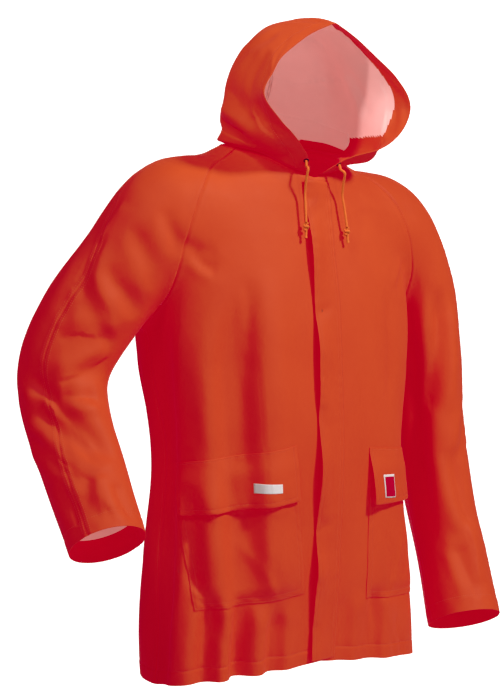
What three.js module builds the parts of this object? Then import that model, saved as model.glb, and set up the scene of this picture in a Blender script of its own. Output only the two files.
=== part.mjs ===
// A hooded raincoat of coated cloth with raglan sleeves, as it hangs when it is worn.
// Millimetres, +Z up. The front faces -Y, the wearer's left is +X, and the origin is
// in the middle of the neck, on the line where the coat rests on the shoulders.
import * as THREE from 'three';

// Driving sizes
const WALL = 1.8;
const SEAM_GAP = 0.4;
const CREASE_GAP = 1.4;
const LAY = 0.3;
const EYELET_LIFT = 0.6;
const SIGHT = 60;
const QUAD_STEPS = 4;
const SETTLE_PASSES = 3;
const PLACE_PASSES = 8;
const FARTHEST = 600;
const BLEND_LOW = 14;
const BLEND_HIGH = 44;
const CREASE_REACH = 13;
const SHOULDER_TILT = 0.06;
const HEM_SWAY = 6;

const BODY_ROWS = 20;
const RAGLAN_ROWS = 9;
const SLEEVE_ROWS = 18;
const FRONT_COLUMNS = 12;
const BACK_COLUMNS = 9;
const SLEEVE_COLUMNS = 7;
const HOOD_COLUMNS = 12;
const RELAX_PASSES = 4;

const CLOTH = { color: 0xc7461f, roughness: 0.55, metalness: 0 };
const SLEEVE_CLOTH = { color: 0xc63b24, roughness: 0.55, metalness: 0 };
const CORD = { color: 0xd9652a, roughness: 0.8, metalness: 0 };
const DARK_METAL = { color: 0x3a2a2a, roughness: 0.4, metalness: 0.9 };
const WHITE_LABEL = { color: 0xe8e2de, roughness: 0.7, metalness: 0 };
const RED_LABEL = { color: 0xb3122a, roughness: 0.7, metalness: 0 };

// Sections of the body, from above the neck down to below the hem. front and back are
// the Y of the centre front and centre back, middle is the Y of the widest place, and a
// square of 2 makes an ellipse and more a flatter face with fuller corners.
const BODY = [
  // z, half, front, back, middle, square front, square back
  [90, 84, -74, 56, -8, 2.1, 2.1],
  [36, 88, -80, 62, -8, 2.1, 2.1],
  [6, 108, -88, 78, -4, 2.1, 2.1],
  [-25, 158, -94, 96, 2, 2.1, 2.1],
  [-60, 205, -98, 112, 6, 2.2, 2.2],
  [-110, 226, -106, 126, 8, 2.4, 2.3],
  [-190, 228, -118, 140, 6, 2.6, 2.5],
  [-283, 224, -126, 150, 2, 2.6, 2.5],
  [-430, 208, -131, 130, 0, 2.6, 2.2],
  [-600, 224, -118, 150, 0, 2.5, 2.2],
  [-700, 232, -106, 158, 0, 3, 2.2],
  [-800, 233, -98, 146, 0, 3.4, 2.2],
];

// Centre line and size of each sleeve from inside the shoulder to past the cuff. wide is
// across the arm and deep from front to back, both turned about the centre line.
const ARMS = {
  right: [
    // x, y, z, wide, deep, turn
    [120, 14, -73, 70, 70, 0],
    [194, 10, -84, 71, 78, 0],
    [256, 30, -168, 70, 76, 0],
    [314, 55, -243, 67, 72, 0],
    [347, 62, -313, 66, 70, 0],
    [353, 30, -392, 61, 66, 0],
    [354, -30, -486, 59, 60, 0],
    [357, -75, -550, 57, 54, 0],
    [363, -105, -599, 57, 54, 0],
  ],
  left: [
    [120, 14, -73, 70, 70, 0],
    [222, 14, -79, 72, 80, 0],
    [284, 12, -180, 64, 80, 10],
    [305, 6, -289, 56, 80, 20],
    [312, 2, -414, 54, 78, 20],
    [314, -26, -541, 52, 72, 20],
    [312, -58, -626, 54, 64, 20],
    [304, -88, -695, 58, 58, 20],
    [298, -110, -745, 58, 56, 20],
  ],
};
const CUFF_AT = { right: 0.87, left: 0.91 };

// Seams of one half, as points near the cloth, with x counted outwards.
const ARM_SEAMS = {
  outward: 0.86, forward: 0.5, outer: [0.31, 0.42, 0.54, 0.66, 0.78], under: [0.42, 0.54, 0.66, 0.78],
};
const SLEEVE_ROOT = [50, 12, -82];
const ROW_CEILING = -120;
const NECK = [[0, -90, -22], [50, -74, -12], [90, -8, 12], [64, 42, 28], [0, 62, 36]];
const NECK_STEPS = 40;
const NECK_AT = { raglanFront: 19, overarm: 24, raglanBack: 28 };
const CHEST_FRONT = [0, -118, -195];
const CHEST_BACK = [0, 140, -205];
const HEM_FRONT = [0, -102, -748];
const HEM_BACK = [0, 152, -752];
const HEM_SIDE = [233, 0, -772];
const UNDERARM = [236, 20, -170];
const UNDERARM_Z = 236;
const SIDE_WAIST = [208, 8, -430];
const RAGLAN_FRONT = [[160, -46, -26], [203, -72, -84], [224, -78, -150], [229, -38, -206]];
const RAGLAN_BACK = [[140, 88, -22], [190, 118, -100], [217, 118, -170], [228, 74, -218]];
const OVERARM_SHOULDER = [[150, 26, -8], [215, 30, -30]];

// Half of the hood, from its neck seam up. edge is the face opening, cheek and corner lie
// between it and back, the centre seam, and the last row is the seam over the crown.
const HOOD = [
  // edge x, y, z, cheek x, y, z, corner x, y, z, back x, y, z
  [33, -119, 6, 90, -88, 14, 99, 6, 44, 0, 70, 62],
  [64, -134, 27, 108, -98, 30, 99, 12, 62, 0, 58, 82],
  [104, -148, 52, 114, -88, 64, 98, 16, 84, 0, 40, 104],
  [138, -152, 92, 113, -80, 106, 98, 14, 116, 0, 31, 132],
  [118, -145, 127, 100, -80, 140, 88, 6, 150, 0, 27, 162],
  [90, -135, 154, 84, -80, 168, 68, -8, 181, 0, 12, 189],
  [49, -138, 182, 50, -84, 196, 42, -28, 206, 0, -10, 209],
  [0, -142, 203, 0, -98, 216, 0, -60, 219, 0, -34, 215],
];
const HOOD_ROWS = 14;
const HOOD_FRONT_CORNER = 0.04;
const HOOD_TUCK = { inward: WALL + 1.3, drop: 9, rise: 4 };
const HOOD_BULGE = { outward: 7, rise: 6 };
const HOOD_TWIST = 12;
const HOOD_SAG = 15;
const FACING = { wall: 1.2, gap: 2.6, fromRow: 4, toRow: 6, columns: 8 };

// Storm flap over the centre front: across counts from the centre, + to the wearer's left
const FLAP = {
  wall: 2.2, stitched: 27, free: -23, top: -27, bottom: -745, rise: 3.4, bow: 7,
  riseBy: 0.75, bowFrom: 0.35, down: 27, across: 3,
};
const STUDS = { count: 5, first: -60, spacing: 160, across: -13, radius: 6, wall: 1.7, sides: 12, ease: 30 };

// Patch pockets and their flaps, as corners: degrees round from centre front, then height
const POCKETS = {
  right: {
    pocket: { top: [[-24.5, -470], [-78, -490]], bottom: [[-17.5, -641], [-69.8, -656]] },
    flap: { top: [[-25.1, -417], [-80.4, -442]], bottom: [[-23, -498], [-76.4, -519]] },
    label: { top: [[-34.9, -471], [-47, -470]], bottom: [[-34.9, -484], [-47, -484]] },
    open: 0,
  },
  left: {
    pocket: { top: [[32.6, -470], [78, -490]], bottom: [[36, -660], [76, -668]] },
    flap: { top: [[31, -428], [80.4, -440]], bottom: [[33, -514], [80, -519]] },
    label: { top: [[39, -470], [48.5, -472]], bottom: [[40, -505], [50, -508]] },
    open: 9,
  },
};
const POCKET = {
  wall: 1.6, bulge: 6, across: 10, down: 8, bulgeFrom: 0.25, bulgeBy: 0.6, bulgeTo: 0.85,
};
const POCKET_FLAP = { wall: 2, lift: 5, across: 10, down: 5, liftBy: 0.45, openFrom: 0.1 };
const LABEL = { wall: 0.6, across: 3, down: 2 };

// Draw cord of the hood: eyelets, the two free ends and their knots
const EYELET = { x: 36, y: -112, z: 0, inner: 2.35, outer: 4.1, wall: 1.4, facing: -0.2, room: 3 };
const CORD_RADIUS = 1.9;
const CORD_OUT = 7;
const CORD_DROP = 3;
const CORD_STEPS = 24;
const RING_SIDES = 16;
const CORD_ROUTES = {
  right: [[-34, -121, -10], [-33, -116, -24], [-31, -110, -44],
    [-31, -111, -62], [-32, -114, -89]],
  left: [[36, -121, -16], [39, -114, -30], [42, -108, -48],
    [44, -110, -66], [47, -113, -96]],
};
const KNOT = { radius: 4.6, height: 11, tail: 15, tailRadius: 2.1, shoulder: 0.8, round: 1.5, sides: 12 };

// Main folds: troughs (depth below 0) and ridges along straight runs, soft on both sides.
const FOLDS = [
  // from x, y, z, to x, y, z, width, depth
  [-407, 24, -326, -345, -60, -420, 11, -6],
  [-405, -5, -360, -366, -61, -425, 12, -6],
  [-409, 73, -291, -397, -37, -425, 16, -6],
  [-334, -15, -341, -391, -1, -336, 12, -5],
  [-281, -34, -122, -257, -47, -171, 14, -4],
  [-243, -57, -98, -225, -62, -137, 12, -4],
  [-315, -22, -185, -279, -31, -220, 14, -5],
  [-226, -63, -132, -171, -86, -163, 14, -4],
  [-131, -105, -200, -136, -108, -400, 24, -6],
  [-150, -93, -690, -155, -90, -790, 24, -6],
  [-80, -120, -210, -85, -115, -400, 24, 3],
  [275, -67, -201, 265, -55, -368, 16, -6],
  [280, -79, -440, 305, -90, -560, 18, -4],
  [345, 30, -330, 320, -40, -450, 14, -5],
  [120, -108, -230, 128, -108, -410, 22, -4],
  [-400, 80, -330, -340, 90, -390, 14, -5],
  [-300, 100, -150, -330, 120, -230, 14, -5],
  [300, 90, -200, 330, 80, -300, 14, -5],
  [-130, 125, -230, -150, 130, -770, 26, -6],
  [20, 150, -250, 30, 150, -770, 30, 4],
  [140, 125, -260, 150, 130, -770, 26, -6],
  [-120, 130, -160, -200, 100, -190, 14, -4],
  [120, 130, -160, 200, 100, -190, 14, -4],
];

// Small vector helpers
const UP = new THREE.Vector3(0, 0, 1);
const AXIS_Y = 8;
const vec = (x, y, z) => new THREE.Vector3(x, y, z);
const mixPoints = (a, b, t) => a.clone().lerp(b, t);
const clamp = (value, low, high) => Math.min(high, Math.max(low, value));
const smooth = (low, high, value) => {
  const t = clamp((value - low) / (high - low), 0, 1);
  return t * t * (3 - 2 * t);
};

// A smooth curve through the numbers of neighbouring rows
function blendRows(before, from, to, after, t) {
  return from.map((value, k) => {
    const slopeFrom = (to[k] - before[k]) / 2;
    const slopeTo = (after[k] - value) / 2;
    const gap = to[k] - value;
    return value + t * (slopeFrom + t * (3 * gap - 2 * slopeFrom - slopeTo
      + t * (slopeFrom + slopeTo - 2 * gap)));
  });
}

function rowAt(rows, t) {
  const last = rows.length - 1;
  const place = clamp(t, 0, 1) * last;
  const k = Math.min(Math.floor(place), last - 1);
  const [before, after] = [rows[Math.max(k - 1, 0)], rows[Math.min(k + 2, last)]];
  return blendRows(before, rows[k], rows[k + 1], after, place - k);
}

function curvePoint(points, t) {
  return vec(...rowAt(points, t));
}

// Section of the body at a height, from the table
function bodySection(z) {
  const last = BODY.length - 1;
  let k = 0;
  while (k < last - 1 && z < BODY[k + 1][0]) k += 1;
  const t = clamp((BODY[k][0] - z) / (BODY[k][0] - BODY[k + 1][0]), 0, 1);
  const row = blendRows(BODY[Math.max(k - 1, 0)], BODY[k], BODY[k + 1], BODY[Math.min(k + 2, last)], t);
  const [, half, front, back, middle, squareFront, squareBack] = row;
  return { half, front, back, middle, squareFront, squareBack };
}

function bodyRatio(x, y, z) {
  const { half, front, back, middle, squareFront, squareBack } = bodySection(z);
  const depth = y < middle ? middle - front : back - middle;
  const square = y < middle ? squareFront : squareBack;
  const across = Math.abs(x / half) ** square;
  const along = Math.abs((y - middle) / depth) ** square;
  return (across + along) ** (1 / square) - 1;
}

// Distance to the body's surface, near enough close to it, negative inside
function bodyDistance(p) {
  const step = 0.5;
  const here = bodyRatio(p.x, p.y, p.z);
  const slope = Math.hypot(
    bodyRatio(p.x + step, p.y, p.z) - here,
    bodyRatio(p.x, p.y + step, p.z) - here,
    bodyRatio(p.x, p.y, p.z + step) - here,
  ) / step;
  return here / Math.max(slope, 0.002);
}

// Sleeve centre lines, as short straight pieces with a frame and a size at each point
const ARM_STEPS = 60;
function armLine(rows, side) {
  const line = [];
  for (let k = 0; k <= ARM_STEPS; k += 1) {
    const [x, y, z, wide, deep, turn] = rowAt(rows, k / ARM_STEPS);
    line.push({ at: vec(side * x, y, z), wide, deep, turn: side * THREE.MathUtils.degToRad(turn) });
  }
  line.forEach((piece, k) => {
    const ahead = line[Math.min(k + 1, ARM_STEPS)].at;
    const behind = line[Math.max(k - 1, 0)].at;
    piece.along = ahead.clone().sub(behind).normalize();
    piece.behind = vec(0, 1, 0).addScaledVector(piece.along, -piece.along.y).normalize();
    piece.out = piece.behind.clone().cross(piece.along).multiplyScalar(-side);
    piece.out.applyAxisAngle(piece.along, piece.turn);
    piece.behind.applyAxisAngle(piece.along, piece.turn);
  });
  return line;
}
const ARM_LINES = { [-1]: armLine(ARMS.right, -1), [1]: armLine(ARMS.left, 1) };

function armDistance(p, line) {
  let best = 0;
  let least = Infinity;
  line.forEach((piece, k) => {
    const gap = piece.at.distanceToSquared(p);
    if (gap < least) {
      least = gap;
      best = k;
    }
  });
  const offset = p.clone().sub(line[best].at);
  const forward = offset.dot(line[best].along) > 0;
  const a = line[forward ? best : Math.max(best - 1, 0)];
  const b = line[forward ? Math.min(best + 1, ARM_STEPS) : best];
  const run = b.at.clone().sub(a.at);
  const t = run.lengthSq() > 0 ? clamp(p.clone().sub(a.at).dot(run) / run.lengthSq(), 0, 1) : 0;
  const from = p.clone().sub(mixPoints(a.at, b.at, t));
  const wide = a.wide + (b.wide - a.wide) * t;
  const deep = a.deep + (b.deep - a.deep) * t;
  const out = mixPoints(a.out, b.out, t);
  const behind = mixPoints(a.behind, b.behind, t);
  const along = mixPoints(a.along, b.along, t);
  const ratio = Math.hypot(from.dot(out) / wide, from.dot(behind) / deep, from.dot(along) / wide);
  return (ratio - 1) * Math.sqrt(wide * deep);
}

// The whole form: body and sleeve flowing into each other at the armhole
function coatDistance(p) {
  const body = bodyDistance(p);
  const arm = armDistance(p, ARM_LINES[p.x < 0 ? -1 : 1]);
  const blend = BLEND_LOW + (BLEND_HIGH - BLEND_LOW) * smooth(-230, -100, p.z);
  const share = clamp(0.5 + (body - arm) / (2 * blend), 0, 1);
  return body + (arm - body) * share - blend * share * (1 - share);
}

function coatNormal(p) {
  const step = 1;
  const slope = (x, y, z) => coatDistance(vec(p.x + x, p.y + y, p.z + z))
    - coatDistance(vec(p.x - x, p.y - y, p.z - z));
  return vec(slope(step, 0, 0), slope(0, step, 0), slope(0, 0, step)).normalize();
}

function ontoCoat(p) {
  const at = p.clone();
  for (let k = 0; k < 6; k += 1) at.addScaledVector(coatNormal(at), -coatDistance(at));
  return at;
}

// First place where a ray from inside leaves the form, or leaves the piece that own measures
function rayOut(origin, direction, own = () => -Infinity) {
  const stride = 6;
  const at = (reach) => origin.clone().addScaledVector(direction, reach);
  const inside = (reach) => coatDistance(at(reach)) < 0 && own(at(reach)) < CREASE_REACH;
  let far = stride;
  while (far < FARTHEST && inside(far)) far += stride;
  let near = far - stride;
  for (let k = 0; k < 12; k += 1) {
    const half = (near + far) / 2;
    if (inside(half)) near = half;
    else far = half;
  }
  return origin.clone().addScaledVector(direction, (near + far) / 2);
}

// Depth of the folds at a place
function foldDepth(p) {
  return FOLDS.reduce((sum, [ax, ay, az, bx, by, bz, width, depth]) => {
    const a = vec(ax, ay, az);
    const run = vec(bx, by, bz).sub(a);
    const t = clamp(p.clone().sub(a).dot(run) / run.lengthSq(), 0, 1);
    const gap = a.addScaledVector(run, t).distanceTo(p) / width;
    return sum + depth * Math.exp(-gap * gap) * Math.sin(Math.PI * (0.12 + 0.76 * t));
  }, 0);
}

// One shoulder is carried a little higher than the other, and the hem hangs to the left
function lean(p) {
  const share = smooth(-340, -90, p.z) * (1 - smooth(20, 110, p.z));
  const onBody = 1 - smooth(236, 260, Math.abs(p.x));
  const sway = HEM_SWAY * (1 - smooth(-760, -450, p.z)) * onBody;
  return vec(p.x + sway, p.y, p.z - SHOULDER_TILT * p.x * share);
}

// A place on the cloth: its base point, its normal and its fold
function clothAt(base) {
  const normal = coatNormal(base);
  return { base, normal, fold: foldDepth(base) };
}
function clothPoint(place, lift) {
  return lean(place.base.clone().addScaledVector(place.normal, place.fold + lift));
}

// Even steps along a run of points
function evenSteps(points, count) {
  const lengths = [0];
  for (let k = 1; k < points.length; k += 1) {
    lengths.push(lengths[k - 1] + points[k].distanceTo(points[k - 1]));
  }
  const total = lengths[lengths.length - 1];
  const result = [];
  let k = 1;
  for (let n = 0; n <= count; n += 1) {
    const want = (total * n) / count;
    while (k < points.length - 1 && lengths[k] < want) k += 1;
    const t = (want - lengths[k - 1]) / Math.max(lengths[k] - lengths[k - 1], 1e-9);
    result.push(mixPoints(points[k - 1], points[k], clamp(t, 0, 1)));
  }
  return result;
}

// A seam on the coat through rough points, in even steps
function seam(points, count, side = 1) {
  const rough = points.map(([x, y, z]) => [side * x, y, z]);
  const fine = [];
  for (let k = 0; k <= count * 4; k += 1) fine.push(ontoCoat(curvePoint(rough, k / (count * 4))));
  return evenSteps(fine, count);
}
const joinRuns = (first, second) => first.concat(second.slice(1));

// Rows between the seams evened out, so that neighbouring rows never cross
function relax(rows) {
  let grid = rows;
  for (let pass = 0; pass < RELAX_PASSES; pass += 1) {
    grid = grid.map((row, i) => row.map((p, j) => {
      const inside = i > 0 && j > 0 && i < grid.length - 1 && j < row.length - 1;
      if (!inside) return p;
      const sum = grid[i - 1][j].clone().add(grid[i + 1][j]).add(row[j - 1]).add(row[j + 1]);
      return ontoCoat(sum.multiplyScalar(0.25));
    }));
  }
  return grid;
}

// A row of places from one seam point to another, turning round an axis
function turnRow(origin, axis, start, end, sense, columns, own) {
  const toStart = start.clone().sub(origin);
  const toEnd = end.clone().sub(origin);
  const flat = (v) => v.clone().addScaledVector(axis, -v.dot(axis));
  const right = flat(toStart).normalize();
  const up = axis.clone().cross(right);
  const rise = (v) => Math.atan2(v.dot(axis), flat(v).length());
  let turn = Math.atan2(toEnd.dot(up), toEnd.dot(right));
  if (sense > 0 && turn < 0) turn += 2 * Math.PI;
  if (sense < 0 && turn > 0) turn -= 2 * Math.PI;
  const fine = [];
  const steps = columns * 3;
  for (let k = 0; k <= steps; k += 1) {
    const t = k / steps;
    const angle = turn * t;
    const lift = rise(toStart) + (rise(toEnd) - rise(toStart)) * t;
    const direction = right.clone().multiplyScalar(Math.cos(angle) * Math.cos(lift))
      .addScaledVector(up, Math.sin(angle) * Math.cos(lift))
      .addScaledVector(axis, Math.sin(lift));
    fine.push(rayOut(origin, direction, own));
  }
  fine[0] = start.clone();
  fine[steps] = end.clone();
  return evenSteps(fine, columns);
}

// Closed thin wall between an outer and an inner grid of points
function wallGeometry(outer, inner) {
  const rows = outer.length;
  const columns = outer[0].length;
  const positions = [];
  outer.concat(inner).forEach((row) => row.forEach((p) => positions.push(p.x, p.y, p.z)));
  const at = (layer, i, j) => (layer * rows + i) * columns + j;
  const faces = [];
  const quad = (a, b, c, d) => faces.push(a, b, c, a, c, d);
  for (let i = 0; i < rows - 1; i += 1) {
    for (let j = 0; j < columns - 1; j += 1) {
      quad(at(0, i, j), at(0, i, j + 1), at(0, i + 1, j + 1), at(0, i + 1, j));
      quad(at(1, i, j), at(1, i + 1, j), at(1, i + 1, j + 1), at(1, i, j + 1));
    }
  }
  for (let i = 0; i < rows - 1; i += 1) {
    quad(at(0, i, 0), at(0, i + 1, 0), at(1, i + 1, 0), at(1, i, 0));
    const last = columns - 1;
    quad(at(0, i + 1, last), at(0, i, last), at(1, i, last), at(1, i + 1, last));
  }
  for (let j = 0; j < columns - 1; j += 1) {
    quad(at(0, 0, j + 1), at(0, 0, j), at(1, 0, j), at(1, 0, j + 1));
    quad(at(0, rows - 1, j), at(0, rows - 1, j + 1), at(1, rows - 1, j + 1), at(1, rows - 1, j));
  }
  return outwardGeometry(positions, faces);
}

// Geometry with its faces turned outwards, whichever way the grid runs
function outwardGeometry(positions, faces) {
  let volume = 0;
  const point = (k) => vec(positions[3 * k], positions[3 * k + 1], positions[3 * k + 2]);
  for (let k = 0; k < faces.length; k += 3) {
    const [a, b, c] = [point(faces[k]), point(faces[k + 1]), point(faces[k + 2])];
    volume += a.dot(b.cross(c));
  }
  if (volume < 0) {
    for (let k = 0; k < faces.length; k += 3) [faces[k + 1], faces[k + 2]] = [faces[k + 2], faces[k + 1]];
  }
  const geometry = new THREE.BufferGeometry();
  geometry.setAttribute('position', new THREE.Float32BufferAttribute(positions, 3));
  geometry.setIndex(faces);
  geometry.computeVertexNormals();
  return geometry;
}

// Half the seam gap is taken off each edge that is sewn to another piece
function trimGrid(grid, edges) {
  const trimmed = grid.map((row) => row.map((p) => p.clone()));
  const rows = grid.length;
  const columns = grid[0].length;
  const pull = (i, j, inward, before, after) => {
    const along = after.clone().sub(before).normalize();
    const way = inward.clone().sub(grid[i][j]);
    way.addScaledVector(along, -way.dot(along)).normalize();
    const crease = Math.hypot(grid[i][j].z + UNDERARM_Z, Math.abs(grid[i][j].x) - UNDERARM[0]);
    trimmed[i][j].addScaledVector(way, SEAM_GAP / 2 + CREASE_GAP * (1 - smooth(15, 60, crease)));
  };
  for (let i = 0; i < rows; i += 1) {
    const above = grid[Math.min(i + 1, rows - 1)];
    const below = grid[Math.max(i - 1, 0)];
    const last = columns - 1;
    if (edges.includes('start')) pull(i, 0, grid[i][1], below[0], above[0]);
    if (edges.includes('end')) pull(i, last, grid[i][last - 1], below[last], above[last]);
  }
  for (let j = 0; j < columns; j += 1) {
    const crown = grid[rows - 1];
    const before = crown[Math.max(j - 1, 0)];
    const after = crown[Math.min(j + 1, columns - 1)];
    if (edges.includes('top')) pull(rows - 1, j, grid[rows - 2][j], before, after);
  }
  return trimmed;
}

const coat = new THREE.Group();
function addPiece(name, geometry, finish) {
  const mesh = new THREE.Mesh(geometry, new THREE.MeshStandardMaterial(finish));
  mesh.name = name;
  coat.add(mesh);
  return mesh;
}

function addPanel(name, rows, edges, finish) {
  const places = rows.map((row) => row.map(clothAt));
  const outer = places.map((row) => row.map((place) => clothPoint(place, 0)));
  const inner = places.map((row) => row.map((place) => clothPoint(place, -WALL)));
  addPiece(name, wallGeometry(trimGrid(outer, edges), trimGrid(inner, edges)), finish);
}

// The seams of one half of the coat
function seamsOf(side) {
  const neck = seam(NECK, NECK_STEPS, side);
  const neckPoint = (index) => [side * neck[index].x, neck[index].y, neck[index].z];
  const frontTop = neckPoint(NECK_AT.raglanFront);
  const backTop = neckPoint(NECK_AT.raglanBack);
  const overTop = neckPoint(NECK_AT.overarm);
  const [armX, armY, armZ] = UNDERARM;
  const crease = rayOut(vec(side * armX, armY, armZ), vec(0, 0, -1));
  const underarmPoint = [side * crease.x, crease.y, crease.z];
  const line = ARM_LINES[side];
  const onArm = (share, outward, forward) => {
    const piece = line[Math.round(share * ARM_STEPS)];
    const at = piece.at.clone().addScaledVector(piece.out, outward * piece.wide)
      .addScaledVector(piece.behind, -forward * piece.deep);
    return [side * at.x, at.y, at.z];
  };
  const cuff = CUFF_AT[side < 0 ? 'right' : 'left'];
  const outer = [...ARM_SEAMS.outer, cuff]
    .map((share) => onArm(share, ARM_SEAMS.outward, ARM_SEAMS.forward));
  const under = [...ARM_SEAMS.under, cuff].map((share) => onArm(share, -1, 0));
  return {
    neck,
    centreFront: joinRuns(
      seam([HEM_FRONT, [0, -129, -480], CHEST_FRONT], BODY_ROWS, side),
      seam([CHEST_FRONT, [0, -103, -90], neckPoint(0)], RAGLAN_ROWS, side),
    ),
    centreBack: joinRuns(
      seam([HEM_BACK, [0, 136, -480], CHEST_BACK], BODY_ROWS, side),
      seam([CHEST_BACK, [0, 112, -60], neckPoint(NECK_STEPS)], RAGLAN_ROWS, side),
    ),
    sideSeam: seam([HEM_SIDE, SIDE_WAIST, underarmPoint], BODY_ROWS, side),
    raglanFront: seam([underarmPoint, ...RAGLAN_FRONT.slice().reverse(), frontTop], RAGLAN_ROWS, side),
    raglanBack: seam([underarmPoint, ...RAGLAN_BACK.slice().reverse(), backTop], RAGLAN_ROWS, side),
    overarm: joinRuns(
      seam([overTop, ...OVERARM_SHOULDER, outer[0]], RAGLAN_ROWS, side),
      seam(outer, SLEEVE_ROWS, side),
    ),
    underarm: seam([underarmPoint, ...under], SLEEVE_ROWS, side),
  };
}
const SEAMS = { [-1]: seamsOf(-1), [1]: seamsOf(1) };

// Fronts and back: rows from the hem to the neck
function bodyRows(side, centre, raglan, sense, columns, neckRun) {
  const seams = SEAMS[side];
  const outside = joinRuns(seams.sideSeam, raglan);
  const rows = centre.map((start, i) => {
    const end = outside[i];
    const level = Math.min((start.z + end.z) / 2, ROW_CEILING);
    return turnRow(vec(0, AXIS_Y, level), UP, start, end, sense * side, columns, bodyDistance);
  });
  rows[rows.length - 1] = evenSteps(neckRun, columns);
  return relax(rows);
}

function frontRows(side) {
  const seams = SEAMS[side];
  return bodyRows(side, seams.centreFront, seams.raglanFront, 1, FRONT_COLUMNS,
    seams.neck.slice(0, NECK_AT.raglanFront + 1));
}

function backRows(side) {
  const seams = SEAMS[side];
  return bodyRows(side, seams.centreBack, seams.raglanBack, -1, BACK_COLUMNS,
    seams.neck.slice(NECK_AT.raglanBack).reverse());
}

// Sleeves: rows from the neck to the cuff
function sleeveRows(side, face) {
  const seams = SEAMS[side];
  const raglan = (face === 'front' ? seams.raglanFront : seams.raglanBack).slice().reverse();
  const inner = joinRuns(raglan, seams.underarm);
  const outer = seams.overarm;
  const middles = outer.map((p, i) => mixPoints(p, inner[i], 0.5));
  const root = vec(side * SLEEVE_ROOT[0], SLEEVE_ROOT[1], SLEEVE_ROOT[2]);
  const origins = middles.map((middle, i) => (
    i < RAGLAN_ROWS ? mixPoints(root, middles[RAGLAN_ROWS], i / RAGLAN_ROWS) : middle));
  const last = origins.length - 1;
  const rows = origins.map((origin, i) => {
    const axis = origins[Math.min(i + 1, last)].clone().sub(origins[Math.max(i - 1, 0)]).normalize();
    const sense = (face === 'front' ? -1 : 1) * side;
    const own = i < RAGLAN_ROWS - 3 ? undefined : (p) => armDistance(p, ARM_LINES[side]);
    return turnRow(origin, axis, inner[i], outer[i], sense, SLEEVE_COLUMNS, own);
  });
  const { raglanFront, overarm, raglanBack } = NECK_AT;
  const neckRun = face === 'front' ? seams.neck.slice(raglanFront, overarm + 1)
    : seams.neck.slice(overarm, raglanBack + 1).reverse();
  rows[0] = evenSteps(neckRun, SLEEVE_COLUMNS);
  return relax(rows);
}

for (const [hand, side] of [['right', -1], ['left', 1]]) {
  addPanel(`front_${hand}`, frontRows(side), ['start', 'end'], CLOTH);
  for (const face of ['front', 'back']) {
    addPanel(`sleeve_${face}_${hand}`, sleeveRows(side, face), ['start', 'end'], SLEEVE_CLOTH);
  }
}
const rightBack = backRows(-1);
const leftBack = backRows(1);
addPanel('back', rightBack.map((row, i) => row.slice().reverse().concat(leftBack[i].slice(1))),
  ['start', 'end'], CLOTH);

// Hood: grid of one half, with its first rows worked out from the neck seam
function hoodGrid(side, columns, rowCount) {
  const { neck } = SEAMS[side];
  const neckRow = (inward, rise) => (u) => {
    const place = HOOD_FRONT_CORNER + u * (1 - HOOD_FRONT_CORNER);
    const at = place * NECK_STEPS;
    const k = Math.min(Math.floor(at), NECK_STEPS - 1);
    const base = mixPoints(neck[k], neck[k + 1], at - k);
    const normal = coatNormal(base);
    const up = UP.clone().addScaledVector(normal, -normal.z).normalize();
    return base.addScaledVector(normal, -inward).addScaledVector(up, rise).toArray();
  };
  const bulgeRow = (u) => {
    const [x, y, z] = neckRow(0, 0)(u);
    const out = vec(x, y - AXIS_Y, 0).normalize().multiplyScalar(HOOD_BULGE.outward);
    return [x + out.x, y + out.y, z + HOOD_BULGE.rise];
  };
  const tableRow = (row) => (u) => {
    const stations = [0, 3, 6, 9].map((k) => [side * row[k], row[k + 1], row[k + 2]]);
    return rowAt(stations, u);
  };
  const controls = [
    neckRow(HOOD_TUCK.inward, -HOOD_TUCK.drop),
    neckRow(HOOD_TUCK.inward, HOOD_TUCK.rise),
    bulgeRow,
    ...HOOD.map(tableRow),
  ];
  const grid = [];
  for (let i = 0; i <= rowCount; i += 1) grid.push([]);
  for (let j = 0; j <= columns; j += 1) {
    const points = controls.map((control) => control(j / columns));
    for (let i = 0; i <= rowCount; i += 1) grid[i].push(curvePoint(points, i / rowCount));
  }
  return grid;
}

function gridNormals(grid, side) {
  const rows = grid.length - 1;
  const columns = grid[0].length - 1;
  return grid.map((row, i) => row.map((p, j) => {
    const across = grid[i][Math.min(j + 1, columns)].clone().sub(grid[i][Math.max(j - 1, 0)]);
    const upward = grid[Math.min(i + 1, rows)][j].clone().sub(grid[Math.max(i - 1, 0)][j]);
    const normal = across.cross(upward).multiplyScalar(side);
    if (j === columns || i === rows) normal.x = 0;
    return normal.normalize();
  }));
}

function hoodPoint(p, normal, lift) {
  const at = p.clone().addScaledVector(normal, lift);
  at.x += HOOD_TWIST * smooth(-60, 20, p.y) * smooth(50, 110, p.z);
  const inFront = 1 - smooth(-140, -70, p.y);
  at.z -= HOOD_SAG * smooth(30, 90, p.x) * inFront * (1 - smooth(60, 130, p.z));
  return lean(at);
}

function hoodLayers(side, columns, lifts) {
  const grid = hoodGrid(side, columns, HOOD_ROWS);
  const normals = gridNormals(grid, side);
  return lifts.map((lift) => grid.map((row, i) => row.map((p, j) => hoodPoint(p, normals[i][j], lift))));
}

function addHoodHalf(hand, side) {
  const [outer, inner] = hoodLayers(side, HOOD_COLUMNS, [0, -WALL]);
  const edges = ['end', 'top'];
  addPiece(`hood_${hand}`, wallGeometry(trimGrid(outer, edges), trimGrid(inner, edges)), CLOTH);
}

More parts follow.
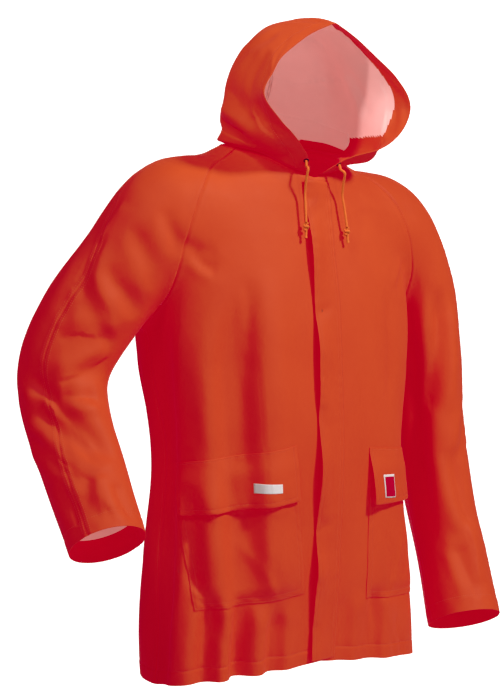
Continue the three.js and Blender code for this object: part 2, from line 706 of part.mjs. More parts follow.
// Facing that covers the back of the neck seam inside the hood
function addFacing() {
  const near = -WALL - FACING.gap;
  const layer = (index) => {
    const halves = [-1, 1].map((side) => hoodLayers(side, HOOD_COLUMNS, [near, near - FACING.wall])[index]);
    return halves[0].slice(FACING.fromRow, FACING.toRow + 1).map((row, i) => {
      const right = row.slice(HOOD_COLUMNS - FACING.columns);
      const left = halves[1][i + FACING.fromRow].slice(HOOD_COLUMNS - FACING.columns).reverse();
      return right.concat(left.slice(1));
    });
  };
  addPiece('neck_facing', wallGeometry(layer(0), layer(1)), CLOTH);
}

// A place on the body at so many degrees round from centre front and so high
function placeRound(degrees, z) {
  const angle = THREE.MathUtils.degToRad(degrees);
  const direction = vec(Math.sin(angle), -Math.cos(angle), 0);
  return clothAt(rayOut(vec(0, AXIS_Y, z), direction, bodyDistance));
}

// A place on the body at so far across from centre front and so high
function placeAcross(x, z) {
  let degrees = 0;
  for (let k = 0; k < PLACE_PASSES; k += 1) {
    const { base } = placeRound(degrees, z);
    degrees = THREE.MathUtils.radToDeg(Math.atan2(x, AXIS_Y - base.y));
  }
  return placeRound(degrees, z);
}

// Room between a point and a finished piece under it
function roomOver(mesh, point, normal) {
  const from = point.clone().addScaledVector(normal, SIGHT);
  const ray = new THREE.Raycaster(from, normal.clone().negate(), 0, 2 * SIGHT);
  const hit = ray.intersectObject(mesh)[0];
  return hit ? hit.distance - SIGHT : LAY;
}

// Points of one quad, which is folded along the line from its first corner to its third
function quadSamples(a, b, c, d) {
  const samples = [];
  for (let m = 0; m <= QUAD_STEPS; m += 1) {
    for (let n = 0; n <= QUAD_STEPS; n += 1) {
      const [s, t] = [m / QUAD_STEPS, n / QUAD_STEPS];
      const corner = s >= t ? b : d;
      const [first, second] = s >= t ? [s, t] : [t, s];
      samples.push(a.clone().addScaledVector(corner.clone().sub(a), first)
        .addScaledVector(c.clone().sub(corner), second));
    }
  }
  return samples;
}

// A piece laid on another between four corners, lifted until it is clear of it everywhere
function layGrid(corners, across, down, wall, lift, seat) {
  const { top, bottom } = corners;
  const mix = (a, b, t) => a + (b - a) * t;
  const places = [];
  const heights = [];
  for (let i = 0; i <= down; i += 1) {
    const t = i / down;
    places.push([]);
    heights.push([]);
    for (let j = 0; j <= across; j += 1) {
      const s = j / across;
      const degrees = mix(mix(top[0][0], top[1][0], s), mix(bottom[0][0], bottom[1][0], s), t);
      const z = mix(mix(top[0][1], top[1][1], s), mix(bottom[0][1], bottom[1][1], s), t);
      const place = placeRound(degrees, z);
      places[i].push(place);
      heights[i].push(lift(s, t) + LAY - roomOver(seat, clothPoint(place, 0), place.normal));
    }
  }
  for (let pass = 0; pass < SETTLE_PASSES; pass += 1) {
    const under = places.map((row, i) => row.map((place, j) => clothPoint(place, heights[i][j])));
    const raise = heights.map((row) => row.map(() => 0));
    for (let i = 0; i < down; i += 1) {
      for (let j = 0; j < across; j += 1) {
        const { normal } = places[i][j];
        const samples = quadSamples(under[i][j], under[i][j + 1], under[i + 1][j + 1], under[i + 1][j]);
        const short = Math.max(...samples.map((point) => LAY - roomOver(seat, point, normal)));
        for (const [k, l] of [[i, j], [i, j + 1], [i + 1, j], [i + 1, j + 1]]) {
          raise[k][l] = Math.max(raise[k][l], short);
        }
      }
    }
    raise.forEach((row, i) => row.forEach((more, j) => { heights[i][j] += more; }));
  }
  const layer = (lifted) => places.map((row, i) => (
    row.map((place, j) => clothPoint(place, heights[i][j] + lifted))));
  return wallGeometry(layer(wall), layer(0));
}

function pocketFlapLift(spec, s, t) {
  const { lift, liftBy, openFrom } = POCKET_FLAP;
  return lift * smooth(0, liftBy, t) + spec.open * (1 - smooth(0, liftBy, s)) * smooth(openFrom, 1, t);
}

function pocketLift(s, t) {
  const { bulge, bulgeFrom, bulgeBy, bulgeTo } = POCKET;
  return bulge * Math.sin(Math.PI * s) * smooth(bulgeFrom, bulgeBy, t) * smooth(1, bulgeTo, t);
}

function addPocket(hand) {
  const spec = POCKETS[hand];
  const front = coat.getObjectByName(`front_${hand}`);
  addPiece(`pocket_${hand}`,
    layGrid(spec.pocket, POCKET.across, POCKET.down, POCKET.wall, pocketLift, front), CLOTH);
  const flap = addPiece(`pocket_flap_${hand}`,
    layGrid(spec.flap, POCKET_FLAP.across, POCKET_FLAP.down, POCKET_FLAP.wall,
      (s, t) => pocketFlapLift(spec, s, t), front), CLOTH);
  addPiece(`label_${hand}`,
    layGrid(spec.label, LABEL.across, LABEL.down, LABEL.wall, () => 0, flap),
    hand === 'right' ? WHITE_LABEL : RED_LABEL);
}

// Storm flap: close to the front at its seam and at each stud, bowed between them
function stormFlapLift(s, z) {
  const phase = (STUDS.first - z) / STUDS.spacing;
  const bow = Math.sin(Math.PI * phase) ** 2 * smooth(STUDS.first + STUDS.ease, STUDS.first - STUDS.ease, z);
  return LAY + FLAP.rise * smooth(0, FLAP.riseBy, s) + FLAP.bow * bow * smooth(FLAP.bowFrom, 1, s);
}

function addStormFlap() {
  const { down: rows, across: columns } = FLAP;
  const layers = [[], []];
  for (let i = 0; i <= rows; i += 1) {
    const z = FLAP.top + ((FLAP.bottom - FLAP.top) * i) / rows;
    const places = [];
    for (let j = 0; j <= columns; j += 1) {
      places.push(placeAcross(FLAP.stitched + ((FLAP.free - FLAP.stitched) * j) / columns, z));
    }
    const lifts = places.map((place, j) => stormFlapLift(j / columns, z));
    layers[0].push(places.map((place, j) => clothPoint(place, lifts[j] + FLAP.wall)));
    layers[1].push(places.map((place, j) => clothPoint(place, lifts[j])));
  }
  addPiece('storm_flap', wallGeometry(layers[0], layers[1]), CLOTH);
}

function addStuds() {
  for (let k = 0; k < STUDS.count; k += 1) {
    const place = placeAcross(STUDS.across, STUDS.first - k * STUDS.spacing);
    const mesh = addPiece(`press_stud_${k + 1}`,
      new THREE.CylinderGeometry(STUDS.radius, STUDS.radius, STUDS.wall, STUDS.sides), DARK_METAL);
    mesh.position.copy(clothPoint(place, LAY + STUDS.wall / 2));
    mesh.quaternion.setFromUnitVectors(vec(0, 1, 0), place.normal);
  }
}

// Middle of the flat face of a piece nearest to a point, with the direction out of it
function flatFaceNear(mesh, p) {
  const position = mesh.geometry.getAttribute('position');
  const index = mesh.geometry.getIndex();
  const corner = (k) => new THREE.Vector3().fromBufferAttribute(position, index.getX(k));
  let best = null;
  for (let k = 0; k < index.count; k += 3) {
    const [a, b, c] = [corner(k), corner(k + 1), corner(k + 2)];
    const [toA, toB, toC] = [b.distanceTo(c), c.distanceTo(a), a.distanceTo(b)];
    const at = a.clone().multiplyScalar(toA).addScaledVector(b, toB).addScaledVector(c, toC);
    at.divideScalar(toA + toB + toC);
    const normal = b.clone().sub(a).cross(c.clone().sub(a));
    const room = normal.length() / (toA + toB + toC);
    normal.normalize();
    const gap = at.distanceTo(p);
    const fits = room > EYELET.room && normal.y < EYELET.facing;
    if (fits && (!best || gap < best.gap)) best = { gap, at, normal };
  }
  return best;
}

// Eyelet, free cord end and knot of one side
function addCordEnd(hand, side) {
  const { inner, outer, wall, x, y, z } = EYELET;
  const profile = [[inner, 0], [outer, 0], [outer, wall], [inner, wall], [inner, 0]];
  const ring = new THREE.LatheGeometry(profile.map(([r, h]) => new THREE.Vector2(r, h)), RING_SIDES);
  const eyelet = addPiece(`eyelet_${hand}`, ring, DARK_METAL);
  const seat = flatFaceNear(coat.getObjectByName(`hood_${hand}`), lean(vec(side * x, y, z)));
  eyelet.position.copy(seat.at).addScaledVector(seat.normal, EYELET_LIFT);
  eyelet.quaternion.setFromUnitVectors(vec(0, 1, 0), seat.normal);
  const outOfEyelet = [LAY, CORD_OUT / 2, CORD_OUT].map((reach) => (
    seat.at.clone().addScaledVector(seat.normal, reach)));
  outOfEyelet[2].z -= CORD_DROP;
  const route = outOfEyelet.concat(CORD_ROUTES[hand].map((point) => vec(...point)));
  const section = new THREE.Shape();
  section.absarc(0, 0, CORD_RADIUS, 0, 2 * Math.PI);
  const cord = new THREE.ExtrudeGeometry(section, {
    steps: CORD_STEPS,
    curveSegments: 4,
    bevelEnabled: false,
    extrudePath: new THREE.CatmullRomCurve3(route),
  });
  addPiece(`draw_cord_${hand}`, cord, CORD);
  const { radius, height, tail, tailRadius } = KNOT;
  const shoulder = radius * KNOT.shoulder;
  const barrel = [[0, 0], [shoulder, -KNOT.round], [radius, -height / 2], [shoulder, KNOT.round - height],
    [tailRadius, -height], [tailRadius, -height - tail], [0, -height - tail]];
  const knot = addPiece(`knot_${hand}`,
    new THREE.LatheGeometry(barrel.reverse().map(([r, h]) => new THREE.Vector2(r, h)), KNOT.sides), CORD);
  knot.position.copy(route[route.length - 1]).add(vec(0, 0, -LAY));
  knot.rotation.x = Math.PI / 2;
}

for (const [hand, side] of [['right', -1], ['left', 1]]) {
  addHoodHalf(hand, side);
  addPocket(hand);
  addCordEnd(hand, side);
}
addFacing();
addStormFlap();
addStuds();

export default coat;
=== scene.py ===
# %% [markdown]
# # A hooded raincoat
#
# This lesson dresses a plain CAD model of a raincoat as real coated cloth. The coat hangs as
# it does when it is worn: two fronts, a back, raglan sleeves cut in two pieces each, a hood
# in two halves, a storm flap over the studs, and flapped patch pockets. All sizes in the
# tables are millimetres, and the meshes are made in metres.

import math

import bpy
import numpy as np
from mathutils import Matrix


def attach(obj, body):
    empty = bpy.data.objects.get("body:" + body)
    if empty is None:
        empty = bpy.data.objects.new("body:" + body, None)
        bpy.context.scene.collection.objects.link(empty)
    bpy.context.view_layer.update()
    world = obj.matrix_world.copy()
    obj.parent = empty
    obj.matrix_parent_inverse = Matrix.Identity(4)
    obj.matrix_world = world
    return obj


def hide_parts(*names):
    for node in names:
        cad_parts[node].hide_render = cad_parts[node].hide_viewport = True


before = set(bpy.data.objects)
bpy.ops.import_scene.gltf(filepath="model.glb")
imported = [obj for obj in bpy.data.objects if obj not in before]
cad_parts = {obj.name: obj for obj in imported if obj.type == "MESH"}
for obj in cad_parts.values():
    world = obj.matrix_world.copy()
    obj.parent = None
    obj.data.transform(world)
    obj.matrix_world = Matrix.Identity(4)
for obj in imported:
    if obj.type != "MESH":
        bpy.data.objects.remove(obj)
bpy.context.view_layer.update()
MM = 0.001
print("nodes in the CAD model:", len(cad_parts))

# %% [markdown]
# ## The camera
#
# The photograph was taken from the wearer's right, slightly above the waist. A long lens
# keeps the coat's sides nearly parallel, as they are in the picture. The frame is taller
# than it is wide, so the sensor's long side runs up the picture.

# %% Camera
CAMERA_TARGET = (-0.032, 0.024, -0.283)
CAMERA_DISTANCE = 3.5
CAMERA_AZIMUTH = math.radians(-37)
CAMERA_ELEVATION = math.radians(2.7)
CAMERA_LENS = 117.6
SENSOR_WIDTH = 36

camera_data = bpy.data.cameras.new("photo_camera")
camera_data.sensor_fit = "AUTO"
camera_data.sensor_width = SENSOR_WIDTH
camera_data.lens = CAMERA_LENS
camera = bpy.data.objects.new("photo_camera", camera_data)
bpy.context.scene.collection.objects.link(camera)
away = np.array([math.sin(CAMERA_AZIMUTH) * math.cos(CAMERA_ELEVATION),
                 -math.cos(CAMERA_AZIMUTH) * math.cos(CAMERA_ELEVATION),
                 math.sin(CAMERA_ELEVATION)])
camera.location = np.array(CAMERA_TARGET) + away * CAMERA_DISTANCE
camera.rotation_euler = (math.pi / 2 - CAMERA_ELEVATION, 0, CAMERA_AZIMUTH)
bpy.context.scene.camera = camera
print("camera at", [round(value, 3) for value in camera.location])

# %% [markdown]
# ## Making meshes
#
# Every cloth piece here is a grid of points. One function turns an outer and an inner grid
# into a closed thin wall, which is what a sheet of cloth is. The faces of the inside and the
# turned hems get their own material number, because the coating and the backing differ.

# %% Mesh helpers
def add_object(name, points, faces, materials, numbers=None, smooth=None):
    mesh = bpy.data.meshes.new(name)
    mesh.from_pydata((np.asarray(points) * MM).tolist(), [], [list(face) for face in faces])
    for material in materials:
        mesh.materials.append(material)
    if numbers is not None:
        mesh.polygons.foreach_set("material_index", np.asarray(numbers, np.int32))
    shade = np.ones(len(faces), bool) if smooth is None else np.asarray(smooth, bool)
    mesh.polygons.foreach_set("use_smooth", shade)
    mesh.update()
    piece = bpy.data.objects.new(name, mesh)
    bpy.context.scene.collection.objects.link(piece)
    return piece


def dress(piece, node):
    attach(piece, "root")
    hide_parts(node)
    return piece


def grid_faces(rows, columns, start, flip):
    i, j = np.meshgrid(np.arange(rows - 1), np.arange(columns - 1), indexing="ij")
    a = (start + i * columns + j).ravel()
    # both orders split a quad along the same diagonal, so a wall's two sides never cross
    order = [a, a + columns, a + columns + 1, a + 1] if flip else [a, a + 1, a + columns + 1, a + columns]
    return np.stack(order, axis=1)


def rim_faces(rows, columns):
    outer = np.arange(rows * columns).reshape(rows, columns)
    loop = np.concatenate([outer[0], outer[1:, -1], outer[-1, -2::-1], outer[-2:0:-1, 0]])
    ahead = np.roll(loop, -1)
    inner = rows * columns
    return np.stack([ahead, loop, loop + inner, ahead + inner], axis=1)


def wall_piece(name, outer, inner, materials, coated=None, flip=False):
    # coated marks the places where the inside shows the first material too
    rows, columns = outer.shape[:2]
    points = np.concatenate([outer.reshape(-1, 3), inner.reshape(-1, 3)])
    front = grid_faces(rows, columns, 0, flip)
    back = grid_faces(rows, columns, rows * columns, not flip)
    rim = rim_faces(rows, columns)
    if flip:
        rim = rim[:, ::-1]
    inside = np.full((rows - 1, columns - 1), len(materials) - 1)
    if coated is not None:
        inside[coated] = 0
    numbers = np.concatenate([np.zeros(len(front), int), inside.ravel(), np.zeros(len(rim), int)])
    smooth = np.concatenate([np.ones(len(front) + len(back), bool), np.zeros(len(rim), bool)])
    faces = np.concatenate([front, back, rim])
    return add_object(name, points, faces, materials, numbers, smooth)


# %% [markdown]
# ## Finishes
#
# The coat's cloth is knitted polyester with a smooth orange coating. It is matt with a faint
# sheen, and it creases softly, so its bump has a fine grain and a broad slow crumple. The
# pigment is fluorescent, but every cloth finish here also has a steady glow of its own, which
# is painted light: it does not follow the lamps, so on the orange it paints red into the shaded
# folds, and on the pale pink backing it is painted light that stands for light coming through
# the cloth. The backing inside is pale pink and dull.

# %% Node helpers
def new_material(name):
    material = bpy.data.materials.new(name)
    material.use_nodes = True
    tree = material.node_tree
    shader = tree.nodes["Principled BSDF"]
    return material, tree, shader


def noise(tree, size_mm, detail=3.0, roughness=0.5):
    place = tree.nodes.new("ShaderNodeTexCoord")
    node = tree.nodes.new("ShaderNodeTexNoise")
    node.inputs["Scale"].default_value = 1 / (size_mm * MM)
    node.inputs["Detail"].default_value = detail
    node.inputs["Roughness"].default_value = roughness
    tree.links.new(place.outputs["Object"], node.inputs["Vector"])
    return node.outputs["Fac"]


def ramp(tree, value, stops):
    node = tree.nodes.new("ShaderNodeValToRGB")
    elements = node.color_ramp.elements
    while len(elements) < len(stops):
        elements.new(0.5)
    for element, (position, colour) in zip(elements, stops):
        element.position = position
        element.color = (*colour, 1)
    tree.links.new(value, node.inputs["Fac"])
    return node.outputs["Color"]


def range_of(tree, value, low, high):
    node = tree.nodes.new("ShaderNodeMapRange")
    node.inputs["To Min"].default_value = low
    node.inputs["To Max"].default_value = high
    tree.links.new(value, node.inputs["Value"])
    return node.outputs["Result"]


def bump(tree, shader, layers):
    normal = None
    for height, strength, distance_mm in layers:
        node = tree.nodes.new("ShaderNodeBump")
        node.inputs["Strength"].default_value = strength
        node.inputs["Distance"].default_value = distance_mm * MM
        tree.links.new(height, node.inputs["Height"])
        if normal is not None:
            tree.links.new(normal, node.inputs["Normal"])
        normal = node.outputs["Normal"]
    tree.links.new(normal, shader.inputs["Normal"])


# %% Cloth, backing, thread, cord, metal and labels
METAL_PATCH = 3
METAL_GLOSS_PATCH = 1.2
METAL_GRAIN = 0.8
# sizes in millimetres of the patches and dents in a finish
COLOUR_PATCH = 70
GLOSS_PATCH = 22
GLOSS_SWING = 0.06
CRUMPLE = 34
CRUMPLE_HEIGHT = 2.2
DENT = 9
DENT_HEIGHT = 0.5
GRAIN_HEIGHT = 0.12
DARK_STOP = 0.3
PALE_STOP = 0.7


def cloth_material(name, dark, pale, painted_glow, painted_glow_strength, rough, grain=0.9, crumple=0.35):
    material, tree, shader = new_material(name)
    colour = ramp(tree, noise(tree, COLOUR_PATCH, 2), [(DARK_STOP, dark), (PALE_STOP, pale)])
    tree.links.new(colour, shader.inputs["Base Color"])
    gloss = range_of(tree, noise(tree, GLOSS_PATCH, 3), rough - GLOSS_SWING, rough + GLOSS_SWING)
    tree.links.new(gloss, shader.inputs["Roughness"])
    # the glow is painted light: a steady emission that lifts the cloth's shade whatever lamps fall on it
    shader.inputs["Emission Color"].default_value = (*painted_glow, 1)
    shader.inputs["Emission Strength"].default_value = painted_glow_strength
    shader.inputs["Sheen Weight"].default_value = 0.02
    shader.inputs["Sheen Roughness"].default_value = 0.5
    shader.inputs["Specular IOR Level"].default_value = 0.13
    bump(tree, shader, [(noise(tree, CRUMPLE, 2), crumple, CRUMPLE_HEIGHT),
                        (noise(tree, DENT, 2), 0.2, DENT_HEIGHT),
                        (noise(tree, grain, 2), 0.25, GRAIN_HEIGHT)])
    return material


# the glow colours and strengths below are painted light: red on the orange keeps its shaded folds red, pink
# on the backing stands for light through the cloth
ORANGE = cloth_material("coated_orange", (0.235, 0.052, 0.003), (0.255, 0.058, 0.004),
                        (1.0, 0.0, 0.03), 0.33, 0.64)
PINK = cloth_material("pale_backing", (0.70, 0.37, 0.34), (0.77, 0.43, 0.40),
                      (1.0, 0.50, 0.47), 0.22, 0.85, 1.4)
THREAD = cloth_material("orange_thread", (0.36, 0.095, 0.03), (0.40, 0.115, 0.04),
                        (1.0, 0.05, 0.05), 0.24, 0.7, 0.3, 0.0)
CORD = cloth_material("braided_cord", (0.56, 0.115, 0.02), (0.66, 0.16, 0.03),
                      (1.0, 0.05, 0.0), 0.06, 0.75, 0.5, 0.0)
WHITE_CLOTH = cloth_material("white_label_cloth", (0.62, 0.55, 0.55), (0.72, 0.66, 0.66),
                             (1.0, 0.6, 0.6), 0.02, 0.7, 0.6, 0.0)
RED_CLOTH = cloth_material("red_label_cloth", (0.38, 0.004, 0.018), (0.45, 0.006, 0.024),
                           (1.0, 0.0, 0.05), 0.04, 0.6, 0.6, 0.0)


def metal_material(name, dark, pale):
    material, tree, shader = new_material(name)
    colour = ramp(tree, noise(tree, METAL_PATCH, 3), [(DARK_STOP, dark), (PALE_STOP, pale)])
    tree.links.new(colour, shader.inputs["Base Color"])
    tree.links.new(range_of(tree, noise(tree, METAL_GLOSS_PATCH, 3), 0.3, 0.5), shader.inputs["Roughness"])
    shader.inputs["Metallic"].default_value = 0.9
    bump(tree, shader, [(noise(tree, METAL_GRAIN, 2), 0.2, 0.05)])
    return material


METAL = metal_material("dark_metal", (0.05, 0.03, 0.03), (0.10, 0.06, 0.06))
print("finishes:", len(bpy.data.materials))

# %% [markdown]
# ## The coat's form
#
# The body is a stack of rounded sections and each sleeve is a bent tube. The distance to
# either is easy to work out, and a smooth blend of the two distances makes the armhole. Any
# point can then be moved onto the form, and the direction out of it is known everywhere.

# %% Tables of the body and the arms
BODY = np.array([
    # z, half, front, back, middle, square front, square back
    [90, 84, -74, 56, -8, 2.1, 2.1],
    [36, 88, -80, 62, -8, 2.1, 2.1],
    [6, 108, -88, 78, -4, 2.1, 2.1],
    [-25, 158, -94, 96, 2, 2.1, 2.1],
    [-60, 205, -98, 112, 6, 2.2, 2.2],
    [-110, 226, -106, 126, 8, 2.4, 2.3],
    [-190, 228, -118, 140, 6, 2.6, 2.5],
    [-283, 224, -126, 150, 2, 2.6, 2.5],
    [-430, 208, -131, 130, 0, 2.6, 2.2],
    [-600, 224, -118, 150, 0, 2.5, 2.2],
    [-700, 232, -106, 158, 0, 3, 2.2],
    [-800, 233, -98, 146, 0, 3.4, 2.2],
], float)
ARMS = {
    # x, y, z, wide, deep, turn
    -1: np.array([
        [120, 14, -73, 70, 70, 0],
        [194, 10, -84, 71, 78, 0],
        [256, 30, -168, 70, 76, 0],
        [314, 55, -243, 67, 72, 0],
        [347, 62, -313, 66, 70, 0],
        [353, 30, -392, 61, 66, 0],
        [354, -30, -486, 59, 60, 0],
        [357, -75, -550, 57, 54, 0],
        [363, -105, -599, 57, 54, 0],
    ], float),
    1: np.array([
        [120, 14, -73, 70, 70, 0],
        [222, 14, -79, 72, 80, 0],
        [284, 12, -180, 64, 80, 10],
        [305, 6, -289, 56, 80, 20],
        [312, 2, -414, 54, 78, 20],
        [314, -26, -541, 52, 72, 20],
        [312, -58, -626, 54, 64, 20],
        [304, -88, -695, 58, 58, 20],
        [298, -110, -745, 58, 56, 20],
    ], float),
}
ARM_STEPS = 60
BLEND_LOW = 14
BLEND_HIGH = 44
BLEND_RISE = (-230, -100)
AXIS_Y = 8
OWN_REACH = 13
SLOPE_STEP = 0.5
LEAST_SLOPE = 0.002
RAY_STRIDE = 6
RAY_END = 600
RAY_HALVINGS = 12


# %% Curves and smooth steps
def soft(low, high, value):
    t = np.clip((value - low) / (high - low), 0, 1)
    return t * t * (3 - 2 * t)


def blend_rows(before, start, end, after, t):
    slope_start = (end - before) / 2
    slope_end = (after - start) / 2
    gap = end - start
    return start + t * (slope_start + t * (3 * gap - 2 * slope_start - slope_end
                                           + t * (slope_start + slope_end - 2 * gap)))


def row_at(rows, t):
    rows = np.asarray(rows, float)
    last = len(rows) - 1
    place = np.clip(np.asarray(t, float), 0, 1) * last
    k = np.minimum(place.astype(int), last - 1)
    part = (place - k).reshape(k.shape + (1,) * (rows.ndim - 1))
    return blend_rows(rows[np.maximum(k - 1, 0)], rows[k], rows[k + 1], rows[np.minimum(k + 2, last)], part)


def unit(vectors):
    return vectors / np.maximum(np.linalg.norm(vectors, axis=-1, keepdims=True), 1e-9)


def dot(a, b):
    return np.sum(a * b, axis=-1)


# %% Distance to the body
def body_section(z):
    heights = BODY[:, 0]
    last = len(BODY) - 1
    k = np.sum(z[..., None] < heights[1:last], axis=-1)
    t = np.clip((heights[k] - z) / (heights[k] - heights[k + 1]), 0, 1)[..., None]
    row = blend_rows(BODY[np.maximum(k - 1, 0)], BODY[k], BODY[k + 1], BODY[np.minimum(k + 2, last)], t)
    return np.moveaxis(row[..., 1:], -1, 0)


def body_ratio(x, y, z):
    half, front, back, middle, square_front, square_back = body_section(z)
    ahead = y < middle
    depth = np.where(ahead, middle - front, back - middle)
    square = np.where(ahead, square_front, square_back)
    total = np.abs(x / half) ** square + np.abs((y - middle) / depth) ** square
    return total ** (1 / square) - 1


def body_distance(p):
    x, y, z = p[..., 0], p[..., 1], p[..., 2]
    here = body_ratio(x, y, z)
    ahead = [body_ratio(x + SLOPE_STEP, y, z), body_ratio(x, y + SLOPE_STEP, z),
             body_ratio(x, y, z + SLOPE_STEP)]
    slope = np.sqrt(sum((value - here) ** 2 for value in ahead)) / SLOPE_STEP
    return here / np.maximum(slope, LEAST_SLOPE)


# %% Distance to a sleeve
def turned(vectors, axes, angles):
    cosine = np.cos(angles)[:, None]
    sine = np.sin(angles)[:, None]
    return (vectors * cosine + np.cross(axes, vectors) * sine
            + axes * dot(axes, vectors)[:, None] * (1 - cosine))


def arm_line(side):
    rows = row_at(ARMS[side], np.arange(ARM_STEPS + 1) / ARM_STEPS)
    at = rows[:, :3] * [side, 1, 1]
    index = np.arange(ARM_STEPS + 1)
    along = unit(at[np.minimum(index + 1, ARM_STEPS)] - at[np.maximum(index - 1, 0)])
    behind = unit(np.array([0.0, 1.0, 0.0]) - along * along[:, 1:2])
    out = np.cross(behind, along) * -side
    angles = side * np.radians(rows[:, 5])
    return {"at": at, "along": along, "out": turned(out, along, angles),
            "behind": turned(behind, along, angles), "wide": rows[:, 3], "deep": rows[:, 4]}


ARM_LINES = {side: arm_line(side) for side in (-1, 1)}


def arm_distance(p, side):
    line = ARM_LINES[side]
    flat = p.reshape(-1, 3)
    at = line["at"]
    squares = (flat ** 2).sum(1)[:, None] - 2 * flat @ at.T + (at ** 2).sum(1)
    best = np.argmin(squares, axis=1)
    forward = dot(flat - at[best], line["along"][best]) > 0
    a = np.where(forward, best, np.maximum(best - 1, 0))
    b = np.where(forward, np.minimum(best + 1, ARM_STEPS), best)
    run = at[b] - at[a]
    length = dot(run, run)
    t = np.where(length > 0, np.clip(dot(flat - at[a], run) / np.maximum(length, 1e-9), 0, 1), 0)
    part = t[:, None]
    offset = flat - at[a] - run * part

    def between(key):
        first, second = line[key][a], line[key][b]
        return first + (second - first) * (part if first.ndim > 1 else t)

    wide, deep = between("wide"), between("deep")
    ratio = np.sqrt((dot(offset, between("out")) / wide) ** 2 + (dot(offset, between("behind")) / deep) ** 2
                    + (dot(offset, between("along")) / wide) ** 2)
    return ((ratio - 1) * np.sqrt(wide * deep)).reshape(p.shape[:-1])


# %% The whole form
def coat_distance(p):
    body = body_distance(p)
    flat = p.reshape(-1, 3)
    arm = np.empty(len(flat))
    for side in (-1, 1):
        mine = flat[:, 0] < 0 if side < 0 else flat[:, 0] >= 0
        if mine.any():
            arm[mine] = arm_distance(flat[mine], side)
    arm = arm.reshape(body.shape)
    width = BLEND_LOW + (BLEND_HIGH - BLEND_LOW) * soft(*BLEND_RISE, p[..., 2])
    share = np.clip(0.5 + (body - arm) / (2 * width), 0, 1)
    return body + (arm - body) * share - width * share * (1 - share)


def coat_normal(p):
    steps = np.eye(3)
    slopes = [coat_distance(p + step) - coat_distance(p - step) for step in steps]
    return unit(np.stack(slopes, axis=-1))


def onto_coat(p, times=6):
    at = np.array(p, float)
    for _ in range(times):
        at = at - coat_normal(at) * coat_distance(at)[..., None]
    return at


def ray_out(origins, directions, own=None):
    # own is a second distance, which keeps a ray from running on into the next tube
    def inside(reach):
        at = origins + directions * reach[:, None]
        result = coat_distance(at) < 0
        return result if own is None else result & (own(at) < OWN_REACH)

    far = np.full(len(origins), float(RAY_STRIDE))
    going = np.ones(len(origins), bool)
    while going.any() and far.max() < RAY_END:
        going &= inside(far)
        far[going] += RAY_STRIDE
    near = far - RAY_STRIDE
    for _ in range(RAY_HALVINGS):
        half = (near + far) / 2
        kept = inside(half)
        near = np.where(kept, half, near)
        far = np.where(kept, far, half)
    return origins + directions * ((near + far) / 2)[:, None]


print("form is", round(float(coat_distance(np.array([[0.0, 0.0, -300.0]]))[0]), 1), "mm deep at the middle")

# %% [markdown]
# ## Folds and creases
#
# Worn cloth hangs from the shoulders and bends at the elbows, so its folds run from the
# places that hold it. Each fold is a run of points with a width and a depth. A trough is
# steeper on one side than on the other, and a low ridge stands beside it, which is how
# coated cloth breaks. Broad folds come first, and the finer creases are laid over them.

# %% Tables of folds and creases
FOLDS = np.array([
    # from x, y, z, to x, y, z, width, depth
    [-407, 24, -326, -345, -60, -420, 11, -6],
    [-405, -5, -360, -366, -61, -425, 12, -6],
    [-409, 73, -291, -397, -37, -425, 16, -6],
    [-334, -15, -341, -391, -1, -336, 12, -5],
    [-281, -34, -122, -257, -47, -171, 14, -4],
    [-243, -57, -98, -225, -62, -137, 12, -4],
    [-315, -22, -185, -279, -31, -220, 14, -5],
    [-226, -63, -132, -171, -86, -163, 14, -4],
    [-131, -105, -200, -136, -108, -400, 24, -6],
    [-150, -93, -690, -155, -90, -790, 24, -6],
    [-80, -120, -210, -85, -115, -400, 24, 3],
    [275, -67, -201, 265, -55, -368, 16, -6],
    [280, -79, -440, 305, -90, -560, 18, -4],
    [345, 30, -330, 320, -40, -450, 14, -5],
    [120, -108, -230, 128, -108, -410, 22, -4],
    [-400, 80, -330, -340, 90, -390, 14, -5],
    [-300, 100, -150, -330, 120, -230, 14, -5],
    [300, 90, -200, 330, 80, -300, 14, -5],
    [-130, 125, -230, -150, 130, -770, 26, -6],
    [20, 150, -250, 30, 150, -770, 30, 4],
    [140, 125, -260, 150, 130, -770, 26, -6],
    [-120, 130, -160, -200, 100, -190, 14, -4],
    [120, 130, -160, 200, 100, -190, 14, -4],
], float)
